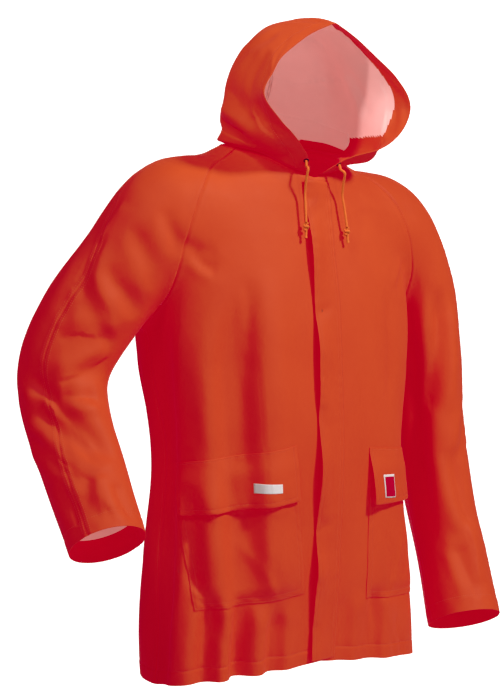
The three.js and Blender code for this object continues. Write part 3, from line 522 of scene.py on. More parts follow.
SLEEVE_CREASES = [
    # points x, y, z, width, depth
    # the elbow: three long folds run from the outer elbow down to the inner forearm
    ([(-416, 60, -300), (-408, 24, -328), (-392, -12, -360), (-370, -42, -396), (-340, -64, -432)], 14, -11),
    ([(-416, 50, -350), (-404, 0, -380), (-386, -40, -412), (-362, -66, -444)], 15, -11),
    ([(-414, 54, -392), (-406, 0, -418), (-394, -50, -446), (-374, -76, -470)], 14, -7),
    ([(-412, 40, -326), (-398, 2, -362), (-378, -34, -392), (-352, -58, -424)], 9, 5),
    # the inner elbow: pinches that fan out from the bend
    ([(-396, 0, -334), (-366, -10, -344), (-332, -15, -343)], 11, -5),
    ([(-304, -22, -290), (-328, -16, -298), (-356, -4, -308), (-386, 18, -322)], 12, -6),
    ([(-300, -14, -268), (-326, -8, -258), (-356, 8, -256), (-384, 26, -262)], 12, -4),
    # the upper sleeve: folds that fall from the shoulder toward the elbow
    ([(-284, -30, -106), (-280, -36, -142), (-266, -42, -176), (-250, -48, -204)], 11, -1.5),
    ([(-246, -52, -80), (-242, -57, -108), (-232, -62, -136), (-222, -64, -158)], 11, -1.5),
    ([(-322, -14, -160), (-312, -22, -192), (-292, -30, -216), (-268, -34, -240)], 12, -3),
    ([(-318, -2, -112), (-334, -4, -150), (-330, -10, -200), (-316, -16, -238), (-302, -22, -268)], 11, 3),
    ([(-346, 16, -150), (-362, 18, -200), (-374, 24, -250)], 14, -3),
    ([(-352, 6, -176), (-350, 0, -216), (-338, -6, -256)], 12, -2),
    ([(-296, 2, -66), (-310, 8, -96), (-324, 12, -130)], 14, 3),
    # the forearm
    ([(-374, -72, -440), (-378, -84, -474), (-370, -96, -506)], 11, 5),
    ([(-404, -24, -452), (-402, -50, -488), (-396, -76, -524)], 12, -4),
    ([(-352, -84, -452), (-350, -98, -490), (-346, -104, -520)], 10, -4),
    # the far sleeve
    ([(272, -72, -170), (270, -68, -250), (262, -58, -340), (256, -56, -420)], 14, -7),
    ([(300, -78, -200), (298, -74, -300), (286, -68, -400)], 14, 5),
    ([(284, -84, -440), (298, -92, -510), (310, -98, -580)], 13, -5),
    ([(330, -40, -360), (318, -62, -420), (298, -80, -470)], 12, -5),
    ([(346, 0, -330), (336, -24, -400), (320, -52, -460)], 12, -4),
    ([(300, -92, -560), (304, -112, -610), (296, -130, -660)], 12, 4),
    ([(276, -100, -590), (286, -120, -640), (290, -134, -680)], 11, -4),
    ([(355, 40, -300), (352, 60, -380), (340, 40, -450)], 12, -4),
    # behind the arms
    ([(-390, 100, -330), (-365, 112, -360), (-335, 100, -385)], 12, -6),
    ([(-300, 105, -140), (-318, 118, -190), (-330, 122, -240)], 12, -5),
    ([(300, 95, -190), (318, 92, -250), (330, 84, -310)], 12, -5),
    ([(280, 80, -120), (300, 92, -170)], 12, -4),
]
BODY_CREASES = [
    # points x, y, z, width, depth
    ([(-212, -68, -145), (-195, -76, -160), (-174, -88, -172)], 7, -3.0),
    ([(-224, -60, -132), (-196, -74, -140), (-170, -84, -142)], 8, -1.6),
    ([(-132, -104, -175), (-131, -108, -240), (-134, -110, -330)], 9, -2.2),
    ([(-206, -60, -590), (-190, -76, -640), (-168, -88, -720)], 9, -2.6),
    ([(-215, -50, -560), (-222, -40, -640), (-228, -20, -740)], 9, 2.2),
    ([(-146, -96, -670), (-150, -94, -720), (-150, -92, -770)], 9, -2.4),
    ([(-90, -112, -680), (-94, -108, -770)], 10, 1.6),
    ([(60, -116, -300), (66, -120, -420), (62, -116, -560)], 14, -1.6),
    ([(96, -112, -640), (110, -104, -700), (112, -102, -770)], 9, -2.2),
    ([(150, -100, -690), (170, -92, -740), (176, -88, -770)], 8, -2.0),
    ([(205, -72, -130), (180, -86, -165), (160, -96, -190)], 8, -2.4),
    ([(130, -106, -180), (136, -108, -260), (132, -110, -360)], 10, -1.8),
    ([(195, -60, -300), (200, -58, -380), (196, -60, -420)], 9, -2.0),
    ([(-190, -70, -300), (-186, -76, -380), (-182, -78, -430)], 10, 1.8),
    ([(-215, 60, -280), (-205, 70, -380), (-200, 74, -450)], 10, -2.4),
    ([(-110, 136, -240), (-120, 128, -360), (-130, 120, -450)], 10, -2.4),
    ([(-60, 145, -480), (-66, 148, -620), (-60, 150, -770)], 12, -2.6),
    ([(70, 145, -470), (74, 148, -620), (66, 150, -770)], 12, -2.6),
    ([(190, 90, -500), (200, 96, -640), (206, 92, -770)], 10, -2.4),
    ([(-190, 90, -520), (-200, 98, -640), (-204, 92, -770)], 10, -2.4),
    ([(215, 50, -280), (205, 62, -380), (200, 66, -450)], 10, -2.4),
    ([(-60, 130, -120), (0, 138, -140), (60, 130, -125)], 12, -1.6),
    ([(-170, 112, -150), (-120, 132, -200), (-60, 145, -215)], 10, -2.0),
    ([(170, 112, -150), (120, 132, -200), (60, 145, -215)], 10, -2.0),
]
BROAD_RIDGES = [
    # points x, y, z, width, depth, each run downwards with its steep side to the wearer's right
    ([(-224, -58, -170), (-222, -52, -300), (-210, -42, -420), (-218, -54, -560), (-228, -46, -800)], 20, 9),
    ([(-240, -14, -200), (-230, -4, -320), (-214, 2, -430), (-226, -6, -560), (-238, -2, -800)], 24, -8),
    ([(-100, -108, -150), (-118, -110, -280), (-112, -113, -400), (-106, -113, -500), (-98, -110, -600),
      (-92, -106, -700)], 26, 13),
    ([(-150, -98, -200), (-164, -100, -300), (-160, -102, -420), (-154, -104, -500), (-150, -102, -600),
      (-150, -98, -700)], 24, -13),
    ([(-186, -76, -460), (-184, -80, -560), (-184, -82, -655)], 17, 7),
    ([(-206, -62, -470), (-204, -66, -560), (-204, -70, -640)], 14, -6),
    ([(-166, -88, -620), (-174, -86, -700), (-178, -84, -810)], 15, 9),
    ([(-188, -80, -640), (-198, -74, -710), (-204, -70, -810)], 14, -9),
    ([(-120, -104, -640), (-124, -100, -710), (-126, -98, -810)], 15, 9),
    ([(-144, -98, -630), (-150, -94, -710), (-152, -92, -810)], 14, -10),
    ([(-212, -58, -600), (-220, -46, -700), (-228, -36, -810)], 13, 7),
    ([(-66, -108, -640), (-69, -104, -710), (-70, -100, -810)], 14, 6),
    ([(-90, -106, -660), (-94, -104, -730), (-96, -102, -810)], 13, -5),
    ([(-150, -98, -440), (-146, -104, -480), (-150, -104, -520)], 13, 5),
    ([(128, -104, -640), (124, -100, -720), (126, -98, -810)], 16, 8),
    ([(66, -108, -640), (60, -104, -720), (56, -101, -810)], 14, 5),
    ([(262, -52, -200), (266, -58, -330), (268, -64, -450), (264, -88, -600)], 20, 8),
    ([(250, -30, -240), (252, -34, -360), (252, -40, -480), (250, -66, -600)], 18, -7),
]
FOLD_ENDS = 0.12
CREASE_ENDS = 0.22
CREASE_LIMIT = 15
STEEP_SIDE = 0.75
GENTLE_SIDE = 1.5
RIDGE_AT = 1.7
RIDGE_WIDTH = 0.8
RIDGE_SHARE = 0.45
SHOULDER_TILT = 0.06
TILT_RISE = (-340, -90)
TILT_FALL = (20, 110)
HEM_SWAY = 6
SWAY_FALL = (-760, -450)
BODY_SIDE = (236, 260)


# %% Depth of the folds and creases at a point
def fold_depth(p):
    total = np.zeros(p.shape[:-1])
    for row in FOLDS:
        start, end, width, depth = row[:3], row[3:6], row[6], row[7]
        run = end - start
        t = np.clip((p - start) @ run / (run @ run), 0, 1)
        gap = np.linalg.norm(p - start - t[..., None] * run, axis=-1) / width
        total += depth * np.exp(-gap * gap) * np.sin(np.pi * (FOLD_ENDS + (1 - 2 * FOLD_ENDS) * t))
    return total


def crease_depth(p, normal, table):
    total = np.zeros(p.shape[:-1])
    for points, width, depth in table:
        corners = np.array(points, float)
        lengths = np.linalg.norm(np.diff(corners, axis=0), axis=1)
        reach = lengths.sum() / 2 + 4 * width + 20
        near = np.linalg.norm(p - corners.mean(axis=0), axis=-1) < reach
        if not near.any():
            continue
        here, out = p[near], normal[near]
        best = np.full(len(here), np.inf)
        side = np.zeros(len(here))
        place = np.zeros(len(here))
        passed = 0.0
        for start, end, length in zip(corners[:-1], corners[1:], lengths):
            run = (end - start) / length
            t = np.clip((here - start) @ run, 0, length)
            offset = here - start - t[:, None] * run
            gap = np.linalg.norm(offset, axis=1)
            closer = gap < best
            across = dot(offset, unit(np.cross(run, out)))
            side = np.where(closer, across, side)
            place = np.where(closer, (passed + t) / lengths.sum(), place)
            best = np.minimum(best, gap)
            passed += length
        u = np.sign(side) * best / width
        trough = np.exp(-((u / np.where(u < 0, GENTLE_SIDE, STEEP_SIDE)) ** 2))
        ridge = np.exp(-(((u - RIDGE_AT) / RIDGE_WIDTH) ** 2))
        ends = soft(0, CREASE_ENDS, np.minimum(place, 1 - place))
        total[near] += depth * ends * (trough - RIDGE_SHARE * ridge)
    # where many creases meet, the cloth can't go deeper than its own slack lets it
    return CREASE_LIMIT * np.tanh(total / CREASE_LIMIT)


def unevenness(p):
    # two slow waves of a millimetre or less, with lengths that never fall into step
    x, y, z = p[..., 0], p[..., 1], p[..., 2]
    return (0.9 * np.sin(x / 31 + 1.7 * np.sin(z / 67)) * np.sin(z / 83 + y / 41)
            + 0.5 * np.sin(z / 29 + x / 23 + 1.3) * np.sin(y / 19 + x / 47))


def lean(p):
    # the far shoulder hangs lower, and the hem sways to the wearer's left
    x, z = p[..., 0], p[..., 2]
    share = soft(*TILT_RISE, z) * (1 - soft(*TILT_FALL, z))
    sway = HEM_SWAY * (1 - soft(*SWAY_FALL, z)) * (1 - soft(*BODY_SIDE, np.abs(x)))
    moved = np.array(p, float)
    moved[..., 0] = x + sway
    moved[..., 2] = z - SHOULDER_TILT * x * share
    return moved


CREASES = SLEEVE_CREASES + BODY_CREASES + BROAD_RIDGES


def cloth_relief(base, normal):
    return fold_depth(base) + crease_depth(base, normal, CREASES) + unevenness(base)


print("broad folds:", len(FOLDS), "creases:", len(CREASES))

# %% [markdown]
# ## The seams
#
# A coat is drawn by its seams. Each seam is a smooth line through a few points, moved onto
# the form and walked in even steps, so that the two panels that meet there share every
# point. The raglan seams run from the neck to under the arm.

# %% Seam tables
NECK = [[0, -90, -22], [50, -74, -12], [90, -8, 12], [64, 42, 28], [0, 62, 36]]
NECK_STEPS = 40
RAGLAN_FRONT_AT, OVERARM_AT, RAGLAN_BACK_AT = 19, 24, 28
CHEST_FRONT = [0, -118, -195]
CHEST_BACK = [0, 140, -205]
HEM_FRONT = [0, -102, -748]
HEM_BACK = [0, 152, -752]
HEM_SIDE = [233, 0, -772]
UNDERARM = [236, 20, -170]
SIDE_WAIST = [208, 8, -430]
RAGLAN_FRONT = [[160, -46, -26], [203, -72, -84], [224, -78, -150], [229, -38, -206]]
RAGLAN_BACK = [[140, 88, -22], [190, 118, -100], [217, 118, -170], [228, 74, -218]]
OVERARM_SHOULDER = [[150, 26, -8], [215, 30, -30]]
CUFF_AT = {-1: 0.87, 1: 0.91}
BODY_ROWS = 20
RAGLAN_ROWS = 9
SLEEVE_ROWS = 18
FRONT_COLUMNS = 12
BACK_COLUMNS = 9
SLEEVE_COLUMNS = 7
RELAX_PASSES = 4
SEAM_FINE = 4
RAYS_PER_COLUMN = 3
HIGHEST_ORIGIN = -120
SLEEVE_ROOT = (50, 12, -82)
FREE_ROWS = RAGLAN_ROWS - 3
OVERARM_SHARES = (0.31, 0.42, 0.54, 0.66, 0.78)


# %% Drawing a seam
def run_lengths(points):
    steps = np.linalg.norm(np.diff(points, axis=0), axis=1)
    return np.concatenate([[0], np.cumsum(steps)])


def values_at(wanted, lengths, values):
    return np.stack([np.interp(wanted, lengths, values[:, k]) for k in range(3)], axis=-1)


def even_steps(points, count):
    lengths = run_lengths(points)
    return values_at(np.linspace(0, lengths[-1], count + 1), lengths, points)


def seam(points, count, side=1):
    rough = np.array(points, float) * [side, 1, 1]
    fine_count = count * SEAM_FINE
    fine = onto_coat(row_at(rough, np.arange(fine_count + 1) / fine_count))
    return even_steps(fine, count)


def join_runs(first, second):
    return np.concatenate([first, second[1:]])


def seams_of(side):
    neck = seam(NECK, NECK_STEPS, side)

    def mirrored(point):
        return [side * point[0], point[1], point[2]]

    start = np.array([[side * UNDERARM[0], UNDERARM[1], UNDERARM[2]]], float)
    underarm = mirrored(ray_out(start, np.array([[0.0, 0.0, -1.0]]))[0])
    line = ARM_LINES[side]

    def on_arm(share, outward, forward):
        k = int(round(share * ARM_STEPS))
        at = (line["at"][k] + line["out"][k] * outward * line["wide"][k]
              - line["behind"][k] * forward * line["deep"][k])
        return mirrored(at)

    cuff = CUFF_AT[side]
    outer = [on_arm(share, 0.86, 0.5) for share in (*OVERARM_SHARES, cuff)]
    under = [on_arm(share, -1, 0) for share in (*OVERARM_SHARES[1:], cuff)]
    front_top, over_top, back_top = (mirrored(neck[k]) for k in (RAGLAN_FRONT_AT, OVERARM_AT, RAGLAN_BACK_AT))
    return {
        "neck": neck,
        "centre_front": join_runs(seam([HEM_FRONT, [0, -129, -480], CHEST_FRONT], BODY_ROWS, side),
                                  seam([CHEST_FRONT, [0, -103, -90], mirrored(neck[0])], RAGLAN_ROWS, side)),
        "centre_back": join_runs(seam([HEM_BACK, [0, 136, -480], CHEST_BACK], BODY_ROWS, side),
                                 seam([CHEST_BACK, [0, 112, -60], mirrored(neck[-1])], RAGLAN_ROWS, side)),
        "side": seam([HEM_SIDE, SIDE_WAIST, underarm], BODY_ROWS, side),
        "raglan_front": seam([underarm, *RAGLAN_FRONT[::-1], front_top], RAGLAN_ROWS, side),
        "raglan_back": seam([underarm, *RAGLAN_BACK[::-1], back_top], RAGLAN_ROWS, side),
        "overarm": join_runs(seam([over_top, *OVERARM_SHOULDER, outer[0]], RAGLAN_ROWS, side),
                             seam(outer, SLEEVE_ROWS, side)),
        "underarm": seam([underarm, *under], SLEEVE_ROWS, side),
    }


SEAMS = {side: seams_of(side) for side in (-1, 1)}
for name in ("side", "raglan_front", "overarm"):
    run = SEAMS[-1][name]
    print(name, "seam:", round(np.linalg.norm(np.diff(run, axis=0), axis=1).sum()), "mm")

# %% [markdown]
# ## From seams to panels
#
# Between two seams, a row of points is found by shooting rays out from inside the coat and
# keeping the place where each leaves the form. The rows are then evened out a little, which
# stops neighbours from crossing under the arm. Later the grid is refined for the look.

# %% Rows between two seams
def turn_rows(origins, axes, starts, ends, sense, columns, own, free):
    # free marks the rows whose rays may run out past their own tube
    to_start = starts - origins
    to_end = ends - origins
    flat_start = to_start - axes * dot(to_start, axes)[:, None]
    flat_end = to_end - axes * dot(to_end, axes)[:, None]
    right = unit(flat_start)
    up = np.cross(axes, right)
    rise_start = np.arctan2(dot(to_start, axes), np.linalg.norm(flat_start, axis=1))
    rise_end = np.arctan2(dot(to_end, axes), np.linalg.norm(flat_end, axis=1))
    turn = np.arctan2(dot(to_end, up), dot(to_end, right))
    turn = np.where((sense > 0) & (turn < 0), turn + 2 * np.pi, turn)
    turn = np.where((sense < 0) & (turn > 0), turn - 2 * np.pi, turn)
    steps = columns * RAYS_PER_COLUMN
    t = np.arange(steps + 1) / steps
    angle = turn[:, None] * t
    lift = rise_start[:, None] + (rise_end - rise_start)[:, None] * t
    direction = (right[:, None] * (np.cos(angle) * np.cos(lift))[..., None]
                 + up[:, None] * (np.sin(angle) * np.cos(lift))[..., None]
                 + axes[:, None] * np.sin(lift)[..., None])
    origin = np.repeat(origins[:, None], steps + 1, axis=1)
    open_rays = np.repeat(free[:, None], steps + 1, axis=1).ravel()

    def limit(at):
        return np.where(open_rays, -np.inf, own(at))

    hits = ray_out(origin.reshape(-1, 3), direction.reshape(-1, 3), limit).reshape(direction.shape)
    hits[:, 0] = starts
    hits[:, -1] = ends
    return np.stack([even_steps(row, columns) for row in hits])


def relax(grid):
    grid = np.array(grid)
    for _ in range(RELAX_PASSES):
        middle = (grid[:-2, 1:-1] + grid[2:, 1:-1] + grid[1:-1, :-2] + grid[1:-1, 2:]) / 4
        grid[1:-1, 1:-1] = onto_coat(middle)
    return grid


def body_rows(side, centre, raglan, sense, columns, neck_run):
    outside = join_runs(SEAMS[side]["side"], raglan)
    levels = np.minimum((centre[:, 2] + outside[:, 2]) / 2, HIGHEST_ORIGIN)
    origins = np.stack([np.zeros_like(levels), np.full_like(levels, AXIS_Y), levels], axis=1)
    axes = np.tile([0.0, 0.0, 1.0], (len(levels), 1))
    bound = np.zeros(len(levels), bool)
    grid = turn_rows(origins, axes, centre, outside, sense * side, columns, body_distance, bound)
    grid[-1] = even_steps(neck_run, columns)
    return relax(grid)


def sleeve_rows(side, face):
    seams = SEAMS[side]
    inner = join_runs(seams["raglan_" + face][::-1], seams["underarm"])
    outer = seams["overarm"]
    middles = (outer + inner) / 2
    root = np.array(SLEEVE_ROOT, float) * [side, 1, 1]
    share = np.minimum(np.arange(len(middles)) / RAGLAN_ROWS, 1)[:, None]
    origins = np.where(share < 1, root + (middles[RAGLAN_ROWS] - root) * share, middles)
    last = len(origins) - 1
    index = np.arange(last + 1)
    axes = unit(origins[np.minimum(index + 1, last)] - origins[np.maximum(index - 1, 0)])
    sense = (-1 if face == "front" else 1) * side
    grid = turn_rows(origins, axes, inner, outer, sense, SLEEVE_COLUMNS,
                     lambda at: arm_distance(at, side), index < FREE_ROWS)
    if face == "front":
        run = seams["neck"][RAGLAN_FRONT_AT:OVERARM_AT + 1]
    else:
        run = seams["neck"][OVERARM_AT:RAGLAN_BACK_AT + 1][::-1]
    grid[0] = even_steps(run, SLEEVE_COLUMNS)
    return relax(grid)


PANELS = {}
for side, hand in ((-1, "right"), (1, "left")):
    at = SEAMS[side]
    PANELS["front_" + hand] = body_rows(side, at["centre_front"], at["raglan_front"], 1, FRONT_COLUMNS,
                                        at["neck"][:RAGLAN_FRONT_AT + 1])
    for face in ("front", "back"):
        PANELS["sleeve_" + face + "_" + hand] = sleeve_rows(side, face)
back_halves = {side: body_rows(side, SEAMS[side]["centre_back"], SEAMS[side]["raglan_back"], -1, BACK_COLUMNS,
                               SEAMS[side]["neck"][RAGLAN_BACK_AT:][::-1]) for side in (-1, 1)}
PANELS["back"] = np.concatenate([back_halves[-1][:, ::-1], back_halves[1][:, 1:]], axis=1)
for name, grid in PANELS.items():
    print(name, grid.shape[:2])

# %% [markdown]
# ## Panels as thin cloth
#
# Each panel is refined to a spacing of about 3 mm, moved onto the form again, and pressed in
# or raised by its folds and creases. The cloth draws in along each seam, and a turned hem
# makes a slightly raised band with a groove where it is stitched down.

# %% Panel refinement
CLOTH_WALL = 0.8
FINE = 6
FINE_SPACING = 2.9
LEAST_SPACING = 0.45
EDGE_STEPS = [0.8, 1.8, 3, 4.5, 6.5, 9]
LINE_STEPS = [-2, -1, 0, 1, 2]
NORMAL_BLURS = 14
SEAM_GROOVE = 1.0
SEAM_GROOVE_WIDTH = 2.2
SEAM_RIDGE = 0.45
SEAM_RIDGE_AT = 5.5
SEAM_RIDGE_WIDTH = 3.2
SEAM_PUCKER = (12, 0.28)
HEM_BAND = 0.45
HEM_GROOVE = 0.6
HEM_GROOVE_WIDTH = 1.3
HEM_PUCKER = (11, 0.38)
STITCH_GROOVE_WIDTH = 1.2
HEM_DEPTH = 21
CUFF_DEPTH = 24
CUFF_BAND = 40
NECK_BAND = 110
SLEEVE_RED_FROM = 200


def refined(length, count, around=()):
    shares = list(np.linspace(0, 1, count + 1))
    for gap in EDGE_STEPS:
        shares += [gap / length, 1 - gap / length]
    for place in around:
        shares += [(place + step) / length for step in LINE_STEPS]
    shares = np.unique(np.round(shares, 5))
    shares = shares[(shares >= 0) & (shares <= 1)]
    keep = np.concatenate([[True], np.diff(shares) * length > LEAST_SPACING])
    keep[-1] = True
    return shares[keep]


def fine_grid(grid, row_shares, column_shares):
    rows = row_at(grid, row_shares)
    return np.swapaxes(row_at(np.swapaxes(rows, 0, 1), column_shares), 0, 1)


def measures(grid):
    across = np.linalg.norm(np.diff(grid, axis=1), axis=2)
    along = np.linalg.norm(np.diff(grid, axis=0), axis=2)
    start = np.concatenate([np.zeros((len(grid), 1)), np.cumsum(across, axis=1)], axis=1)
    bottom = np.concatenate([np.zeros((1, grid.shape[1])), np.cumsum(along, axis=0)], axis=0)
    return start, start[:, -1:] - start, bottom, bottom[-1:] - bottom


def slopes_cross(grid):
    return np.cross(np.gradient(grid, axis=1), np.gradient(grid, axis=0))


def faces_inward(grid, outward):
    return np.mean(dot(unit(slopes_cross(grid)), outward)) < 0


def bell(gap, width):
    return np.exp(-((gap / width) ** 2))


def seam_relief(gap):
    ridge = SEAM_RIDGE * bell(gap - SEAM_RIDGE_AT, SEAM_RIDGE_WIDTH)
    return ridge - SEAM_GROOVE * bell(gap, SEAM_GROOVE_WIDTH)


def pucker(gap, run, reach, size):
    # small waves along a row of stitches, which die out at a short reach from it
    wave = np.sin(run / 3.1 + 1.8 * np.sin(run / 17)) * (0.6 + 0.4 * np.sin(run / 41))
    return size * wave * bell(gap, reach)


def hem_relief(gap, depth, run):
    band = HEM_BAND * (1 - soft(depth - 1.5, depth + 0.5, gap))
    groove = HEM_GROOVE * bell(gap - depth + 0.5, HEM_GROOVE_WIDTH)
    return band - groove + pucker(gap - depth, run, *HEM_PUCKER)


def blurred(values, passes):
    for _ in range(passes):
        padded = np.pad(values, ((1, 1), (1, 1), (0, 0)), mode="edge")
        values = (padded[:-2, 1:-1] + padded[2:, 1:-1] + padded[1:-1, :-2] + padded[1:-1, 2:] + values) / 5
    return unit(values)


# %% One piece of cloth
LINES = {}


def cloth_piece(node, outer, inner, normals, gaps, materials, coated=None):
    piece = wall_piece(node + "_cloth", outer, inner, materials, coated, faces_inward(outer, normals))
    LINES[node] = {"outer": outer, "normals": normals, **dict(zip(("start", "end", "bottom", "top"), gaps))}
    dress(piece, node)
    print(node, "faces:", len(piece.data.polygons))


def cloth_panel(name, grid, sewn, hem, hem_depth):
    start, _, bottom, _ = measures(grid)
    width = start[:, -1].mean()
    height = bottom[-1].mean()
    hem_line = height - hem_depth if hem == "top" else hem_depth
    row_shares = refined(height, (len(grid) - 1) * FINE, (hem_line,))
    column_shares = refined(width, int(width / FINE_SPACING))
    fine = fine_grid(grid, row_shares, column_shares)
    if hem == "top":
        # a bent tube's normals jump at the bend, so a sleeve's are evened out
        normals = blurred(coat_normal(fine), NORMAL_BLURS)
    else:
        fine = onto_coat(fine, 2)
        normals = coat_normal(fine)
    gaps = measures(fine)
    start, end, bottom, top = gaps
    relief = cloth_relief(fine, normals)
    for edge, gap in (("start", start), ("end", end)):
        if edge in sewn:
            relief += seam_relief(gap) + pucker(gap, bottom, *SEAM_PUCKER)
    if "top" in sewn:
        relief += seam_relief(top)
    from_hem = top if hem == "top" else bottom
    from_neck = bottom if hem == "top" else top
    relief += hem_relief(from_hem, hem_depth, start)
    outer = lean(fine + normals * relief[..., None])
    inner = lean(fine + normals * (relief - CLOTH_WALL)[..., None])
    coated = from_neck < NECK_BAND
    if hem == "top":
        coated |= (from_hem < CUFF_BAND) | (from_hem > SLEEVE_RED_FROM)
    else:
        coated |= from_hem < hem_depth - 0.5
    cloth_piece(name, outer, inner, normals, gaps, [ORANGE, PINK], coated[:-1, :-1])


# %% [markdown]
# ## Sewing
#
# A lockstitch shows as a row of short raised threads with small gaps. Each stitch here is a
# spindle of eight faces, laid along a line at a set distance from the edge of its piece.

# %% Stitches
STITCH_LENGTH = 2.7
STITCH_PITCH = 3.6
STITCH_RADIUS = 0.3
STITCH_LIFT = 0.1
STITCH_AIM = 0.5
SEWING = []


def offset_line(field, gap, values):
    # the line on the grid where a distance takes a value, found row by row
    points = []
    for distances, row in zip(field, values):
        order = np.argsort(distances)
        points.append(values_at(gap, distances[order], row[order]))
    return np.array(points)


def line_beside(name, edge, gap):
    lines = LINES[name]
    field, outer, normals = lines[edge], lines["outer"], lines["normals"]
    if edge in ("bottom", "top"):
        field, outer, normals = field.T, np.swapaxes(outer, 0, 1), np.swapaxes(normals, 0, 1)
    return offset_line(field, gap, outer), unit(offset_line(field, gap, normals))


def stitch_beside(name, edge, gap, skip=4.0):
    points, normals = line_beside(name, edge, gap)
    lengths = run_lengths(points)
    if lengths[-1] < 3 * skip:
        return
    places = np.arange(skip, lengths[-1] - skip, STITCH_PITCH)
    at = values_at(places, lengths, points)
    ahead = values_at(places + STITCH_AIM, lengths, points)
    out = unit(values_at(places, lengths, normals))
    SEWING.append((at + out * STITCH_LIFT, unit(ahead - at), out))


def stitches_object(name):
    at, along, out = (np.concatenate(parts) for parts in zip(*SEWING))
    SEWING.clear()
    across = np.cross(along, out) * STITCH_RADIUS
    high = out * STITCH_RADIUS
    half = along * STITCH_LENGTH / 2
    corners = np.stack([at - half, at + across, at + high, at - across, at - high, at + half], axis=1)
    faces = []
    for k in range(4):
        here, ahead = k + 1, (k + 1) % 4 + 1
        faces.append([0, ahead, here])
        faces.append([5, here, ahead])
    base = (np.arange(len(at)) * 6)[:, None, None]
    faces = (base + np.array(faces)).reshape(-1, 3).tolist()
    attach(add_object(name, corners.reshape(-1, 3), faces, [THREAD]), "root")
    print(name, len(at))


# %% The fronts, the back and the sleeves
SEWN = {
    # the edges sewn to a neighbour, the hemmed edge, the hem's depth, and the rows of stitches
    "sleeve": (("start", "end"), "top", CUFF_DEPTH,
               (("top", CUFF_DEPTH), ("end", 2.6), ("end", 6.6), ("start", 2.6))),
    "front": (("end", "top"), "bottom", HEM_DEPTH, (("bottom", HEM_DEPTH),)),
    "back": (("start", "end", "top"), "bottom", HEM_DEPTH,
             (("bottom", HEM_DEPTH), ("start", 2.6), ("end", 2.6))),
}
for name, grid in PANELS.items():
    sewn, hem, depth, rows = SEWN[name.split("_")[0]]
    cloth_panel(name, grid, sewn, hem, depth)
    for edge, gap in rows:
        stitch_beside(name, edge, gap)
stitches_object("seam_stitches")

# %% [markdown]
# ## The hood
#
# The hood is two halves sewn over the crown and down the back. Its face edge is a wide
# turned hem that the draw cord runs in. Worn cloth sinks at the brow and over the neck, so
# those places are pressed in.

# %% Hood tables
HOOD = [
    # x, y, z at the edge, the cheek, the corner and the back
    [33, -119, 6, 90, -88, 14, 99, 6, 44, 0, 70, 62],
    [64, -134, 27, 108, -98, 30, 99, 12, 62, 0, 58, 82],
    [104, -148, 52, 114, -88, 64, 98, 16, 84, 0, 40, 104],
    [138, -152, 92, 113, -80, 106, 98, 14, 116, 0, 31, 132],
    [118, -145, 127, 100, -80, 140, 88, 6, 150, 0, 27, 162],
    [90, -135, 154, 84, -80, 168, 68, -8, 181, 0, 12, 189],
    [49, -138, 182, 50, -84, 196, 42, -28, 206, 0, -10, 209],
    [0, -142, 203, 0, -98, 216, 0, -60, 219, 0, -34, 215],
]
HOOD_FRONT_CORNER = 0.04
HOOD_TUCK = 3.1
HOOD_TUCK_DROP = 9
HOOD_TUCK_RISE = 4
HOOD_BULGE = 7
HOOD_BULGE_RISE = 6
HOOD_TWIST = 12
HOOD_SAG = 15
HOOD_HEM = 27
HOOD_RED_BELOW = 40
HOOD_HEIGHT = 420
HOOD_DEPTH = 330
HOOD_FINE_ROWS = 120
HOOD_FINE_COLUMNS = 110
HOOD_WAVE_SCALE = 1.3
HOOD_WAVE = 1.2
HOOD_STITCHES = (("start", HOOD_HEM), ("start", 2.2), ("end", 2.8))
HOOD_FREE_FROM = (8, 30)
HOOD_PUCKER = (12, 0.4)
HOOD_STITCH_SKIP = 14
CROWN_STITCH = 2.8
RUFFLE = 0.6
RUFFLE_AT = 12
RUFFLE_WIDTH = 9
TWIST_BACK = (-60, 20)
TWIST_UP = (50, 110)
SAG_OUT = (30, 90)
SAG_BACK = (-140, -70)
SAG_UP = (60, 130)
HOOD_CREASES = [
    # points x, y, z, width, depth
    ([(12, 34, 133), (50, 24, 128), (92, 0, 131), (100, -40, 128)], 8, -3.4),
    ([(20, 30, 110), (70, 24, 106), (96, 4, 112)], 9, 2.0),
    ([(55, -2, 205), (66, -10, 190), (70, -14, 176)], 5, -2.4),
    ([(100, -30, 150), (106, -60, 100), (112, -70, 60)], 10, -3.4),
    ([(104, -110, 130), (116, -120, 92), (100, -116, 58)], 9, -2.2),
    ([(-84, -96, 168), (-104, -84, 128), (-112, -84, 88)], 10, -2.6),
    ([(-60, -88, 192), (-88, -40, 172), (-92, -8, 150)], 10, -2.6),
    ([(-98, 6, 112), (-108, -40, 92), (-116, -84, 62), (-106, -112, 40)], 15, -7.0),
    ([(-100, -70, 40), (-104, -30, 52), (-98, 10, 66)], 12, -6.0),
    ([(-92, -84, 20), (-98, -36, 32), (-88, 14, 46)], 11, 5.0),
    ([(-70, -122, 22), (-96, -104, 44), (-112, -84, 84)], 12, 6.0),
    ([(-40, 60, 66), (0, 66, 72), (40, 60, 66)], 9, -2.6),
    ([(-60, 20, 120), (-20, 32, 132), (20, 32, 138)], 9, -2.0),
    ([(-30, -60, 214), (-16, -90, 212), (-8, -130, 205)], 7, -1.8),
    ([(40, -70, 200), (26, -100, 202), (16, -134, 200)], 7, -1.8),
    ([(-70, -130, 30), (-84, -118, 44), (-98, -104, 70)], 8, -2.2),
]


# %% Hood grid
def neck_row(side, shares, inward, rise):
    neck = SEAMS[side]["neck"]
    at = (HOOD_FRONT_CORNER + shares * (1 - HOOD_FRONT_CORNER)) * NECK_STEPS
    k = np.minimum(at.astype(int), NECK_STEPS - 1)
    base = neck[k] + (neck[k + 1] - neck[k]) * (at - k)[:, None]
    normal = coat_normal(base)
    up = unit(np.array([0, 0, 1.0]) - normal * normal[:, 2:])
    return base - normal * inward + up * rise


